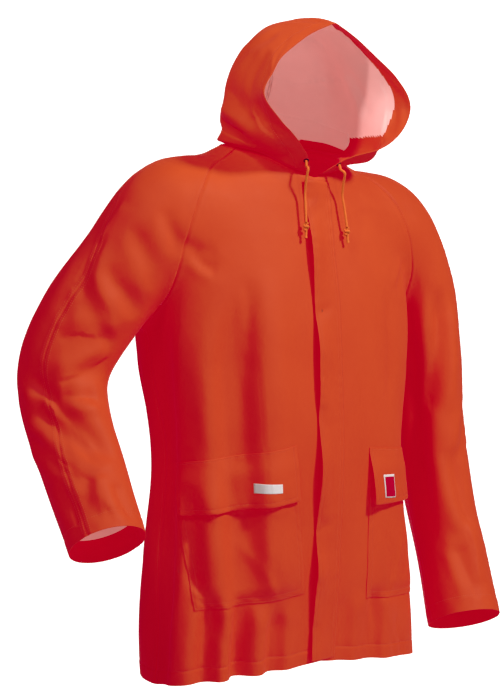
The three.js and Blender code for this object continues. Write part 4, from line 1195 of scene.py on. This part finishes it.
def hood_grid(side, row_shares, column_shares):
    seat = neck_row(side, column_shares, 0, 0)
    out = unit((seat - [0, AXIS_Y, 0]) * [1, 1, 0])
    controls = [neck_row(side, column_shares, HOOD_TUCK, -HOOD_TUCK_DROP),
                neck_row(side, column_shares, HOOD_TUCK, HOOD_TUCK_RISE),
                seat + out * HOOD_BULGE + [0, 0, HOOD_BULGE_RISE]]
    for row in HOOD:
        stations = np.array(row, float).reshape(4, 3) * [side, 1, 1]
        controls.append(row_at(stations, column_shares))
    return row_at(np.array(controls), row_shares)


def hood_point(p):
    # the crown is twisted to the wearer's left, and the far cheek sags
    x, y, z = p[..., 0], p[..., 1], p[..., 2]
    moved = np.array(p)
    moved[..., 0] = x + HOOD_TWIST * soft(*TWIST_BACK, y) * soft(*TWIST_UP, z)
    in_front = 1 - soft(*SAG_BACK, y)
    moved[..., 2] = z - HOOD_SAG * soft(*SAG_OUT, moved[..., 0]) * in_front * (1 - soft(*SAG_UP, z))
    return lean(moved)


def hood_normals(grid, side, to_crown):
    # on the centre seam the normals lie in the middle plane, so the halves meet
    normals = slopes_cross(grid) * side
    normals[:, -1, 0] = 0
    if to_crown:
        normals[-1, :, 0] = 0
    return unit(normals)


def hood_relief(grid, normals):
    return crease_depth(grid, normals, HOOD_CREASES) + unevenness(grid * HOOD_WAVE_SCALE) * HOOD_WAVE


def hood_half(hand, side):
    name = "hood_" + hand
    rows = refined(HOOD_HEIGHT, HOOD_FINE_ROWS)
    columns = refined(HOOD_DEPTH, HOOD_FINE_COLUMNS, (HOOD_HEM,))
    fine = hood_grid(side, rows, columns)
    normals = hood_normals(fine, side, True)
    gaps = measures(fine)
    start, end, bottom, top = gaps
    ruffle = RUFFLE * np.sin(bottom / 9 + 2 * np.sin(bottom / 33)) * bell(start - RUFFLE_AT, RUFFLE_WIDTH)
    relief = hood_relief(fine, normals) + seam_relief(end) + pucker(end, bottom, *HOOD_PUCKER) + ruffle
    relief = relief * soft(*HOOD_FREE_FROM, bottom) + seam_relief(top) + hem_relief(start, HOOD_HEM, bottom)
    outer = hood_point(fine + normals * relief[..., None])
    inner = hood_point(fine + normals * (relief - CLOTH_WALL)[..., None])
    coated = (start < HOOD_HEM - 0.5) | (outer[..., 2] < HOOD_RED_BELOW)
    cloth_piece(name, outer, inner, normals, gaps, [ORANGE, PINK], coated[:-1, :-1])
    for edge, gap in HOOD_STITCHES:
        stitch_beside(name, edge, gap, HOOD_STITCH_SKIP)
    stitch_beside(name, "top", CROWN_STITCH)


for side, hand in ((-1, "right"), (1, "left")):
    hood_half(hand, side)
stitches_object("hood_stitches")

# %% Tape along the hood's centre seam and the neck facing
TAPE_HALF = 6.0
TAPE_GAP = 0.25
TAPE_WALL = 0.4
TAPE_RUN = (0.30, 0.995)
TAPE_ROWS = 110
TAPE_COLUMNS = 4
FACING_RUN = (4 / 14, 6 / 14)
FACING_FROM = 0.5
FACING_ROWS = 30
FACING_COLUMNS = 50
FACING_CENTRE = (0.0, AXIS_Y, 30.0)
FACING_GAP = 3.8
FACING_WALL = 1.0


def layer_inside(row_shares, column_shares, gap, wall):
    # a strip that follows the inside of both halves of the hood and crosses their seam
    near_halves, far_halves = [], []
    for side in (-1, 1):
        grid = hood_grid(side, row_shares, column_shares)
        normals = hood_normals(grid, side, False)
        depth = hood_relief(grid, normals) - CLOTH_WALL - gap
        near_halves.append(hood_point(grid + normals * depth[..., None]))
        far_halves.append(hood_point(grid + normals * (depth - wall)[..., None]))
    return [np.concatenate([first, second[:, ::-1][:, 1:]], axis=1)
            for first, second in (near_halves, far_halves)]


rows = np.linspace(*TAPE_RUN, TAPE_ROWS)
columns = np.linspace(1 - TAPE_HALF / HOOD_DEPTH, 1, TAPE_COLUMNS)
outside, inside = layer_inside(rows, columns, TAPE_GAP, TAPE_WALL)
TAPE_CLOTH = cloth_material("seam_tape", (0.78, 0.50, 0.47), (0.84, 0.56, 0.53),
                            (1.0, 0.25, 0.25), 0.03, 0.6, 1.2, 0.1)
flip = faces_inward(inside, np.array([0, -1.0, 0]))
tape = wall_piece("hood_tape", inside, outside, [TAPE_CLOTH], None, flip)
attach(tape, "root")

rows = np.linspace(*FACING_RUN, FACING_ROWS)
columns = np.linspace(FACING_FROM, 1, FACING_COLUMNS)
outside, inside = layer_inside(rows, columns, FACING_GAP, FACING_WALL)
flip = faces_inward(inside, unit(np.array(FACING_CENTRE) - inside))
facing = wall_piece("neck_facing_cloth", inside, outside, [PINK], None, flip)
dress(facing, "neck_facing")
print("tape faces:", len(tape.data.polygons), "facing faces:", len(facing.data.polygons))

# %% [markdown]
# ## Pockets, flaps and the storm flap
#
# These pieces lie on the fronts. Each is placed by its height and its angle round the body,
# so it follows the panel under it with all its folds, and is then lifted a little where the
# cloth stands off. The storm flap is sewn down at one edge and is held by hidden studs, so
# its free edge bows out between them.

# %% Tables of the laid pieces
POCKETS = {
    # corners as degrees round from the centre front and height
    "right": {"pocket": [[(-24.5, -470), (-78, -490)], [(-17.5, -641), (-69.8, -656)]],
              "flap": [[(-25.1, -417), (-80.4, -442)], [(-23, -498), (-76.4, -519)]],
              "label": [[(-34.9, -471), (-47, -470)], [(-34.9, -484), (-47, -484)]], "open": 0},
    "left": {"pocket": [[(32.6, -470), (78, -490)], [(36, -660), (76, -668)]],
             "flap": [[(31, -428), (80.4, -440)], [(33, -514), (80, -519)]],
             "label": [[(39, -470), (48.5, -472)], [(40, -505), (50, -508)]], "open": 9},
}
POCKET_WIDTH = 170
POCKET_HEIGHT = 180
POCKET_ROWS = 62
POCKET_COLUMNS = 60
POCKET_BULGE = 6
POCKET_SWELL_FROM = (0.25, 0.6)
POCKET_SWELL_TO = (1, 0.85)
POCKET_STITCHES = (2.0, 9.0)
POCKET_PUCKER = (9, 0.35)
POCKET_FOLDS = [
    # place across, sway, sway's speed, width, height, where it starts and fades down the pocket
    (0.52, 0.1, 5, 0.05, 1.6, (0.35, 0.6), (1, 0.85)),
    (0.33, -0.06, 6, 0.06, -1.8, (0.25, 0.6), (1, 0.8)),
]
FLAP_HEIGHT = 80
FLAP_ROWS = 30
FLAP_PASSES = 12
FLAP_LIFT = 5
FLAP_SEAM = 7.0
FLAP_HINGE = 3.0
FLAP_OPENS = (0, 0.45)
FLAP_SWELL = 0.4
LABEL_STEPS = 22
LABEL_BORDER = 0.09
LABEL_WALL = 0.55
LABEL_ROLL = 0.25
LABEL_ROLL_WIDTH = 0.06
LABEL_SINK = 0.1
LAY = 0.5
LAID_WALL = 1.0
PLACE_PASSES = 8
FIRST_Y = -110.0
ROLLED_EDGE = 2.2
ROLL_DROP = 0.5
STORM_WIDTH = 50
STORM_HEIGHT = 720
STORM_ROWS = 200
STORM_COLUMNS = 18
STORM_STITCHED = 27
STORM_FREE = -23
STORM_TOP = -27
STORM_BOTTOM = -745
STORM_RISE = 3.4
STORM_BOW = 7
STORM_WALL = 1.2
STORM_SEAM = 6
STORM_EDGE = 4
STORM_PUCKER = (9, 0.4)
STORM_STITCHES = (("end", STORM_SEAM), ("start", 2.0), ("start", 8.0))
PINCH = 1.4
PINCH_WIDTH = 0.24
STUD_FIRST = -60
STUD_SPACING = 160
STUD_COUNT = 5
STUD_X = -13


# %% Placing points on the fronts
def place_round(degrees, z):
    angle = np.radians(degrees)
    flat_angle, flat_z = angle.ravel(), z.ravel()
    origins = np.stack([np.zeros_like(flat_z), np.full_like(flat_z, AXIS_Y), flat_z], axis=1)
    ways = np.stack([np.sin(flat_angle), -np.cos(flat_angle), np.zeros_like(flat_z)], axis=1)
    return ray_out(origins, ways, body_distance).reshape(degrees.shape + (3,))


def place_across(x, z):
    y = np.full_like(x, FIRST_Y)
    for _ in range(PLACE_PASSES):
        hit = place_round(np.degrees(np.arctan2(x, AXIS_Y - y)), z)
        y = hit[..., 1]
    return hit


def laid_piece(node, base, lift, relief, materials, wall=LAID_WALL):
    normals = coat_normal(base)
    height = cloth_relief(base, normals) + LAY + lift + relief
    gaps = measures(base)
    roll = ROLL_DROP * (1 - soft(0, ROLLED_EDGE, np.minimum.reduce(gaps)))
    outer = lean(base + normals * (height + wall - roll)[..., None])
    inner = lean(base + normals * height[..., None])
    cloth_piece(node, outer, inner, normals, gaps, materials)


def between_corners(corners, s, t):
    (a, b), (c, d) = np.array(corners, float)
    s, t = s[None, :, None], t[:, None, None]
    return (a * (1 - s) + b * s) * (1 - t) + (c * (1 - s) + d * s) * t


def corner_grid(corners, s, t):
    flat = between_corners(corners, s, t)
    return place_round(flat[..., 0], flat[..., 1])


# %% Patch pockets and their flaps
def pocket_cloth(hand, spec, s):
    t = refined(POCKET_HEIGHT, POCKET_ROWS)
    base = corner_grid(spec["pocket"], s, t)
    grid_s, grid_t = np.meshgrid(s, t)
    swell = POCKET_BULGE * np.sin(np.pi * grid_s) * soft(*POCKET_SWELL_FROM, grid_t)
    swell *= soft(*POCKET_SWELL_TO, grid_t)
    start, end, bottom, top = measures(base)
    rim = np.minimum(np.minimum(start, end), top)
    relief = -0.5 * bell(rim - 2, 1.0) - 0.5 * bell(rim - 9, 1.2)
    relief += pucker(rim - 6, start + bottom, *POCKET_PUCKER)
    for place, sway, speed, width, height, rise, fade in POCKET_FOLDS:
        gap = grid_s - place - sway * np.sin(grid_t * speed)
        relief += height * bell(gap, width) * soft(*rise, grid_t) * soft(*fade, grid_t)
    laid_piece("pocket_" + hand, base, swell, relief, [ORANGE, PINK])
    for edge in ("start", "end", "top"):
        for gap in POCKET_STITCHES:
            stitch_beside("pocket_" + hand, edge, gap, skip=gap + 1)


def flap_cloth(hand, spec, s, t):
    node = "pocket_flap_" + hand
    base = corner_grid(spec["flap"], s, t)
    grid_s, grid_t = np.meshgrid(s, t)
    start, end, bottom, top = measures(base)
    lift = FLAP_LIFT * soft(*FLAP_OPENS, grid_t)
    lift += POCKET_BULGE * FLAP_SWELL * np.sin(np.pi * grid_s) * soft(0.4, 1, grid_t)
    lift += spec["open"] * (1 - soft(*FLAP_OPENS, grid_s)) * soft(0.1, 1, grid_t)
    rim = np.minimum(np.minimum(start, end), top)
    # the free edge waves most, and the rows of stitches pull the cloth in
    relief = np.sin(start / 8.5 + 1.6 * np.sin(start / 27)) * soft(40, 4, top) * 1.1
    relief += 0.6 * np.sin(start / 17 + 0.8) * soft(60, 0, top)
    relief -= 0.5 * bell(rim - FLAP_SEAM, STITCH_GROOVE_WIDTH)
    relief -= 0.4 * bell(bottom - FLAP_HINGE, STITCH_GROOVE_WIDTH)
    relief += pucker(rim - FLAP_SEAM, start, 8, 0.4) + pucker(bottom - FLAP_HINGE, start, 8, 0.35)
    laid_piece(node, base, lift, relief, [ORANGE])
    for edge in ("start", "end", "top"):
        stitch_beside(node, edge, FLAP_SEAM, skip=FLAP_SEAM + 1)
    stitch_beside(node, "bottom", FLAP_HINGE)


# %% The bare labels
def place_on_flap(corners, flat):
    # the shares across and down the flap at which a label's points lie
    (a, b), (c, d) = np.array(corners, float)
    degrees, heights = flat[..., 0], flat[..., 1]
    across = np.full_like(degrees, 0.5)
    down = np.full_like(degrees, 0.5)
    for _ in range(FLAP_PASSES):
        left_edge = a[0] * (1 - down) + c[0] * down
        right_edge = b[0] * (1 - down) + d[0] * down
        across = (degrees - left_edge) / (right_edge - left_edge)
        upper = a[1] * (1 - across) + b[1] * across
        lower = c[1] * (1 - across) + d[1] * across
        down = (heights - upper) / (lower - upper)
    return across, down


def grid_value(values, rows, columns):
    i = np.minimum(rows.astype(int), values.shape[0] - 2)
    j = np.minimum(columns.astype(int), values.shape[1] - 2)
    di, dj = (rows - i)[..., None], (columns - j)[..., None]
    return (values[i, j] * (1 - di) * (1 - dj) + values[i + 1, j] * di * (1 - dj)
            + values[i, j + 1] * (1 - di) * dj + values[i + 1, j + 1] * di * dj)


def label_cloth(hand, spec, s, t):
    steps = np.linspace(0, 1, LABEL_STEPS)
    across, down = place_on_flap(spec["flap"], between_corners(spec["label"], steps, steps))
    rows = np.interp(down, t, np.arange(len(t)))
    columns = np.interp(across, s, np.arange(len(s)))
    flap = LINES["pocket_flap_" + hand]
    seat = grid_value(flap["outer"], rows, columns)
    out = unit(grid_value(flap["normals"], rows, columns))
    place_s, place_t = np.meshgrid(steps, steps)
    rim = np.minimum(np.minimum(place_s, 1 - place_s), np.minimum(place_t, 1 - place_t))
    high = LABEL_WALL - LABEL_ROLL * (1 - soft(0, LABEL_ROLL_WIDTH, rim))
    outer = seat + out * high[..., None]
    inner = seat - out * LABEL_SINK
    materials = [WHITE_CLOTH] if hand == "right" else [RED_CLOTH, WHITE_CLOTH]
    label = wall_piece("label_" + hand + "_cloth", outer, inner, materials, None, faces_inward(outer, out))
    if hand == "left":
        # a woven border runs round the red field
        border = rim[:-1, :-1] < LABEL_BORDER
        numbers = np.zeros(len(label.data.polygons), np.int32)
        numbers[:border.size] = border.ravel()
        label.data.polygons.foreach_set("material_index", numbers)
    dress(label, "label_" + hand)


for hand in ("right", "left"):
    spec = POCKETS[hand]
    across = refined(POCKET_WIDTH, POCKET_COLUMNS, (8,))
    down = refined(FLAP_HEIGHT, FLAP_ROWS, (FLAP_SEAM,))
    pocket_cloth(hand, spec, across)
    flap_cloth(hand, spec, across, down)
    label_cloth(hand, spec, across, down)

# %% The storm flap
s = refined(STORM_WIDTH, STORM_COLUMNS, (5, 12))
t = refined(STORM_HEIGHT, STORM_ROWS)
grid_s, grid_t = np.meshgrid(s, t)
storm_z = STORM_TOP + (STORM_BOTTOM - STORM_TOP) * grid_t
storm_x = STORM_STITCHED + (STORM_FREE - STORM_STITCHED) * grid_s
base = place_across(storm_x, storm_z)
phase = (STUD_FIRST - storm_z) / STUD_SPACING
bow = np.sin(np.pi * phase) ** 2 * soft(-30, -90, storm_z)
lift = STORM_RISE * soft(0, 0.75, grid_s) + STORM_BOW * bow * soft(0.35, 1, grid_s)
start, end, bottom, top = measures(base)
pinch = bell(np.sin(np.pi * phase), PINCH_WIDTH)
relief = -PINCH * pinch * bell(grid_s - 0.72, 0.3)
relief += 1.2 * np.sin(bottom / 19 + 3 * grid_s + 1.2 * np.sin(bottom / 47)) * soft(0.1, 0.8, grid_s)
relief += 0.9 * np.sin(bottom / 7.3 - 5 * grid_s) * pinch * soft(0.1, 0.6, grid_s)
for gap in (end - STORM_SEAM, start - STORM_EDGE):
    relief += pucker(gap, bottom, *STORM_PUCKER) - 0.5 * bell(gap, STITCH_GROOVE_WIDTH)
laid_piece("storm_flap", base, lift, relief, [ORANGE], STORM_WALL)
for edge, gap in STORM_STITCHES:
    stitch_beside("storm_flap", edge, gap)
stitches_object("pocket_and_flap_stitches")

# %% [markdown]
# ## Cord, knots, eyelets and studs
#
# The cord is braided from two sets of strands, so its surface has small crossed ribs. It
# leaves the hood's hem through a metal eyelet on each side, hangs down over the chest, and
# ends in an overhand knot with a short tail.

# %% Draw cord
CORD_RADIUS = 1.9
CORD_SIDES = 16
STRANDS = 4
BRAID_PITCH = 7.5
BRAID_RIB = 0.07
BRAID_SWELL = 1.02
KNOT_RIB = 0.06
KNOT_SWELL = 1.08
FRAY = 0.28
CORD_STEPS = 150
WRAP_STEPS = 90
TAIL_STEPS = 40
KNOT_WRAP = 2.7
KNOT_TURNS = 1.6
TAIL_DROP = 21
TAIL_BEND = {"right": -1.2, "left": 1.6}
CORD_ROUTES = {
    # the first three points lead out of the eyelet
    "right": [[-31.1, -112.5, 2.4], [-32.1, -114.3, -0.1], [-33.1, -116.1, -5.8], [-34, -121, -10],
              [-33, -116, -24], [-31, -110, -44], [-31, -111, -62], [-32, -114, -89]],
    "left": [[31.0, -112.5, -1.8], [31.4, -114.4, -4.3], [32.0, -116.4, -10.1], [36, -121, -16],
             [39, -114, -30], [42, -108, -48], [44, -110, -66], [47, -113, -96]],
}
EYELETS = {
    "right": ([-31.2, -112.7, 2.2], [-0.296, -0.536, -0.790]),
    "left": ([31.0, -112.7, -2.0], [0.154, -0.590, -0.793]),
}


def ring_faces(rows, sides, count=None):
    # the faces between rings of points, which close on the first ring where a count is given
    faces = []
    for i in range(rows):
        n = i + 1 if count is None else (i + 1) % count
        for j in range(sides):
            k = (j + 1) % sides
            faces.append([i * sides + j, i * sides + k, n * sides + k, n * sides + j])
    return faces


def tube(line, radius, braid, sides=CORD_SIDES):
    along = unit(np.gradient(line, axis=0))
    side = unit(np.cross(along, np.array([0.0, 1.0, 0.2])))
    up = np.cross(along, side)
    angles = 2 * np.pi * np.arange(sides) / sides
    turn, run = np.meshgrid(angles, 2 * np.pi * run_lengths(line) / BRAID_PITCH)
    ribs = np.sin(STRANDS * turn + run * 2) * np.sin(STRANDS * turn - run * 2)
    reach = np.broadcast_to(np.asarray(radius, float).reshape(-1, 1), turn.shape) * (1 + braid * ribs)
    points = (line[:, None] + side[:, None] * (np.cos(turn) * reach)[..., None]
              + up[:, None] * (np.sin(turn) * reach)[..., None])
    count = len(line)
    faces = ring_faces(count - 1, sides)
    faces.append(list(range(sides))[::-1])
    faces.append([(count - 1) * sides + j for j in range(sides)])
    return points.reshape(-1, 3), faces


for hand in ("right", "left"):
    line = row_at(CORD_ROUTES[hand], np.linspace(0, 1, CORD_STEPS))
    braid = tube(line, CORD_RADIUS * BRAID_SWELL, BRAID_RIB)
    cord = add_object("draw_cord_" + hand + "_braid", *braid, [CORD])
    dress(cord, "draw_cord_" + hand)

    # an overhand knot: a short wrap of cord round itself, with the tail under it
    end = line[-1]
    turn = np.linspace(0, 2 * np.pi * KNOT_TURNS, WRAP_STEPS)
    wrap = end + np.stack([KNOT_WRAP * np.cos(turn), KNOT_WRAP * np.sin(turn),
                           -1.6 - 1.05 * turn + 1.2 * np.sin(turn * 1.5)], axis=1)
    knot_points, knot_faces = tube(wrap, CORD_RADIUS * KNOT_SWELL, KNOT_RIB)
    run = np.linspace(0, 1, TAIL_STEPS)
    tail = end + np.stack([TAIL_BEND[hand] * run ** 2, -0.6 * run, -2 - TAIL_DROP * run], axis=1)
    tail_points, tail_faces = tube(tail, CORD_RADIUS * (1 + FRAY * soft(0.82, 1, run)), BRAID_RIB)
    faces = knot_faces + [[index + len(knot_points) for index in face] for face in tail_faces]
    knot = add_object("knot_" + hand + "_braid", np.concatenate([knot_points, tail_points]), faces, [CORD])
    dress(knot, "knot_" + hand)


# %% Eyelets and press studs
EYELET_PROFILE = [(2.3, -0.7), (4.2, -0.7), (4.3, -0.3), (4.1, 0.2), (3.4, 0.6), (2.8, 0.6), (2.35, 0.2)]
STUD_PROFILE = [(0.4, 0.0), (6.0, 0.0), (6.1, 0.5), (5.6, 1.3), (4.4, 1.6), (3.2, 1.2), (0.4, 1.1)]
STUD_GAP = 0.4
EYELET_SIDES = 40
STUD_SIDES = 32


def turned_piece(name, node, profile, centre, axis, sides):
    # profile is a closed run of radius and height pairs
    axis = unit(np.array(axis, float))
    first = unit(np.cross(axis, [0.3, 0.2, 1.0]))
    second = np.cross(axis, first)
    angles = 2 * np.pi * np.arange(sides) / sides
    ring = np.cos(angles)[:, None] * first + np.sin(angles)[:, None] * second
    points = np.concatenate([np.array(centre) + ring * radius + axis * height for radius, height in profile])
    piece = add_object(name, points, ring_faces(len(profile), sides, len(profile)), [METAL])
    dress(piece, node)


for hand, (centre, axis) in EYELETS.items():
    turned_piece("eyelet_" + hand + "_ring", "eyelet_" + hand, EYELET_PROFILE, centre, axis, EYELET_SIDES)

stud_z = STUD_FIRST - STUD_SPACING * np.arange(STUD_COUNT, dtype=float)
stud_base = place_across(np.full(STUD_COUNT, float(STUD_X)), stud_z)
stud_normals = coat_normal(stud_base)
stud_height = cloth_relief(stud_base, stud_normals) + STUD_GAP
for k in range(STUD_COUNT):
    centre = lean(stud_base[k] + stud_normals[k] * stud_height[k])
    name = f"press_stud_{k + 1}"
    turned_piece(name + "_cap", name, STUD_PROFILE, centre, stud_normals[k], STUD_SIDES)
print("eyelets: 2, press studs:", STUD_COUNT)

# %% [markdown]


# %% [markdown]
# ## Light and floor
#
# The photograph has a soft key light from the upper right and a pure white ground. Three area
# lights stand in for the studio's, and a small spot from the wearer's right lifts the hood,
# which faces away from the key light.

# %% Lights
AREA_LIGHTS = [
    # name, place, the point it faces, size, power, colour
    ("key_light", (1.0, -2.5, 2.0), (0, 0, -0.3), 0.4, 121, (1, 0.98, 0.95)),
    ("top_light", (-1.5, -0.9, 2.0), (-0.1, 0, 0), 0.5, 24, (1, 1, 1)),
    ("front_light", (-0.4, -3.4, 0.2), (0, 0, 0.05), 0.5, 12, (1, 0.97, 0.95)),
]
HOOD_LIGHT_AT = (-3.1, -1.2, 1.5)
HOOD_LIGHT_FACES = (-0.03, -0.06, 0.15)


def place_light(name, data, place, aim):
    light = bpy.data.objects.new(name, data)
    bpy.context.scene.collection.objects.link(light)
    light.location = place
    way = np.array(aim) - np.array(place)
    tilt = math.atan2(way[2], math.hypot(way[0], way[1])) + math.pi / 2
    light.rotation_euler = (tilt, 0, math.atan2(way[1], way[0]) - math.pi / 2)


for name, place, aim, size, power, colour in AREA_LIGHTS:
    data = bpy.data.lights.new(name, "AREA")
    data.shape = "RECTANGLE"
    data.size = size
    data.size_y = size
    data.energy = power
    data.color = colour
    place_light(name, data, place, aim)
spot = bpy.data.lights.new("hood_light", "SPOT")
spot.energy = 260
spot.spot_size = math.radians(9.5)
spot.spot_blend = 0.9
spot.shadow_soft_size = 0.12
place_light("hood_light", spot, HOOD_LIGHT_AT, HOOD_LIGHT_FACES)

world = bpy.data.worlds.new("white_room")
world.use_nodes = True
background = world.node_tree.nodes["Background"]
background.inputs["Color"].default_value = (1, 1, 1, 1)
background.inputs["Strength"].default_value = 0.05
bpy.context.scene.world = world

# %% Floor and backdrop
FLOOR_Z = -1.47
FLOOR_HALF = 14
WALL_BEHIND = 3.2
WALL_HALF = 1.0
WALL_TOP = 0.95


def stage_plane(name, corners):
    material, tree, shader = new_material(name + "_white")
    return add_object(name, np.array(corners, float) / MM, [[0, 1, 2, 3]], [material]), tree, shader


floor, _, floor_shader = stage_plane("floor", [[x * FLOOR_HALF, y * FLOOR_HALF, FLOOR_Z]
                                               for x, y in ((-1, -1), (1, -1), (1, 1), (-1, 1))])
floor_shader.inputs["Base Color"].default_value = (0.7, 0.7, 0.7, 1)
floor_shader.inputs["Roughness"].default_value = 0.8

# a white wall stands behind the coat, square to the camera
wall_centre = np.array([-away[0], -away[1], 0]) * WALL_BEHIND
wall_side = np.array([math.cos(CAMERA_AZIMUTH), math.sin(CAMERA_AZIMUTH), 0]) * WALL_HALF
backdrop, tree, shader = stage_plane("backdrop", [wall_centre + wall_side * side + np.array([0, 0, height])
                                                  for side, height in ((-1, FLOOR_Z), (1, FLOOR_Z),
                                                                       (1, WALL_TOP), (-1, WALL_TOP))])
shader.inputs["Base Color"].default_value = (1, 1, 1, 1)
shader.inputs["Emission Color"].default_value = (1, 1, 1, 1)
shader.inputs["Emission Strength"].default_value = 0.95
# seen from its back the wall is clear, so it never hides the coat
clear = tree.nodes.new("ShaderNodeBsdfTransparent")
geometry = tree.nodes.new("ShaderNodeNewGeometry")
mix = tree.nodes.new("ShaderNodeMixShader")
tree.links.new(geometry.outputs["Backfacing"], mix.inputs[0])
tree.links.new(shader.outputs["BSDF"], mix.inputs[1])
tree.links.new(clear.outputs["BSDF"], mix.inputs[2])
tree.links.new(mix.outputs["Shader"], tree.nodes["Material Output"].inputs["Surface"])

# %% Colour as the photograph prints it
view = bpy.context.scene.view_settings
view.view_transform = "Standard"
view.look = "None"
# the photograph's print profile takes the green out of dark reds, so shaded folds turn crimson
GREEN_CURVE = [(0.0, 0.0), (0.018, 0.001), (0.036, 0.014), (0.056, 0.052), (0.09, 0.09), (1.0, 1.0)]
view.use_curve_mapping = True
green = view.curve_mapping.curves[1]
green.points[0].location = GREEN_CURVE[0]
green.points[1].location = GREEN_CURVE[-1]
for place, value in GREEN_CURVE[1:-1]:
    green.points.new(place, value)
for point in green.points:
    point.handle_type = "VECTOR"
view.curve_mapping.update()
print("lights:", len(bpy.data.lights))
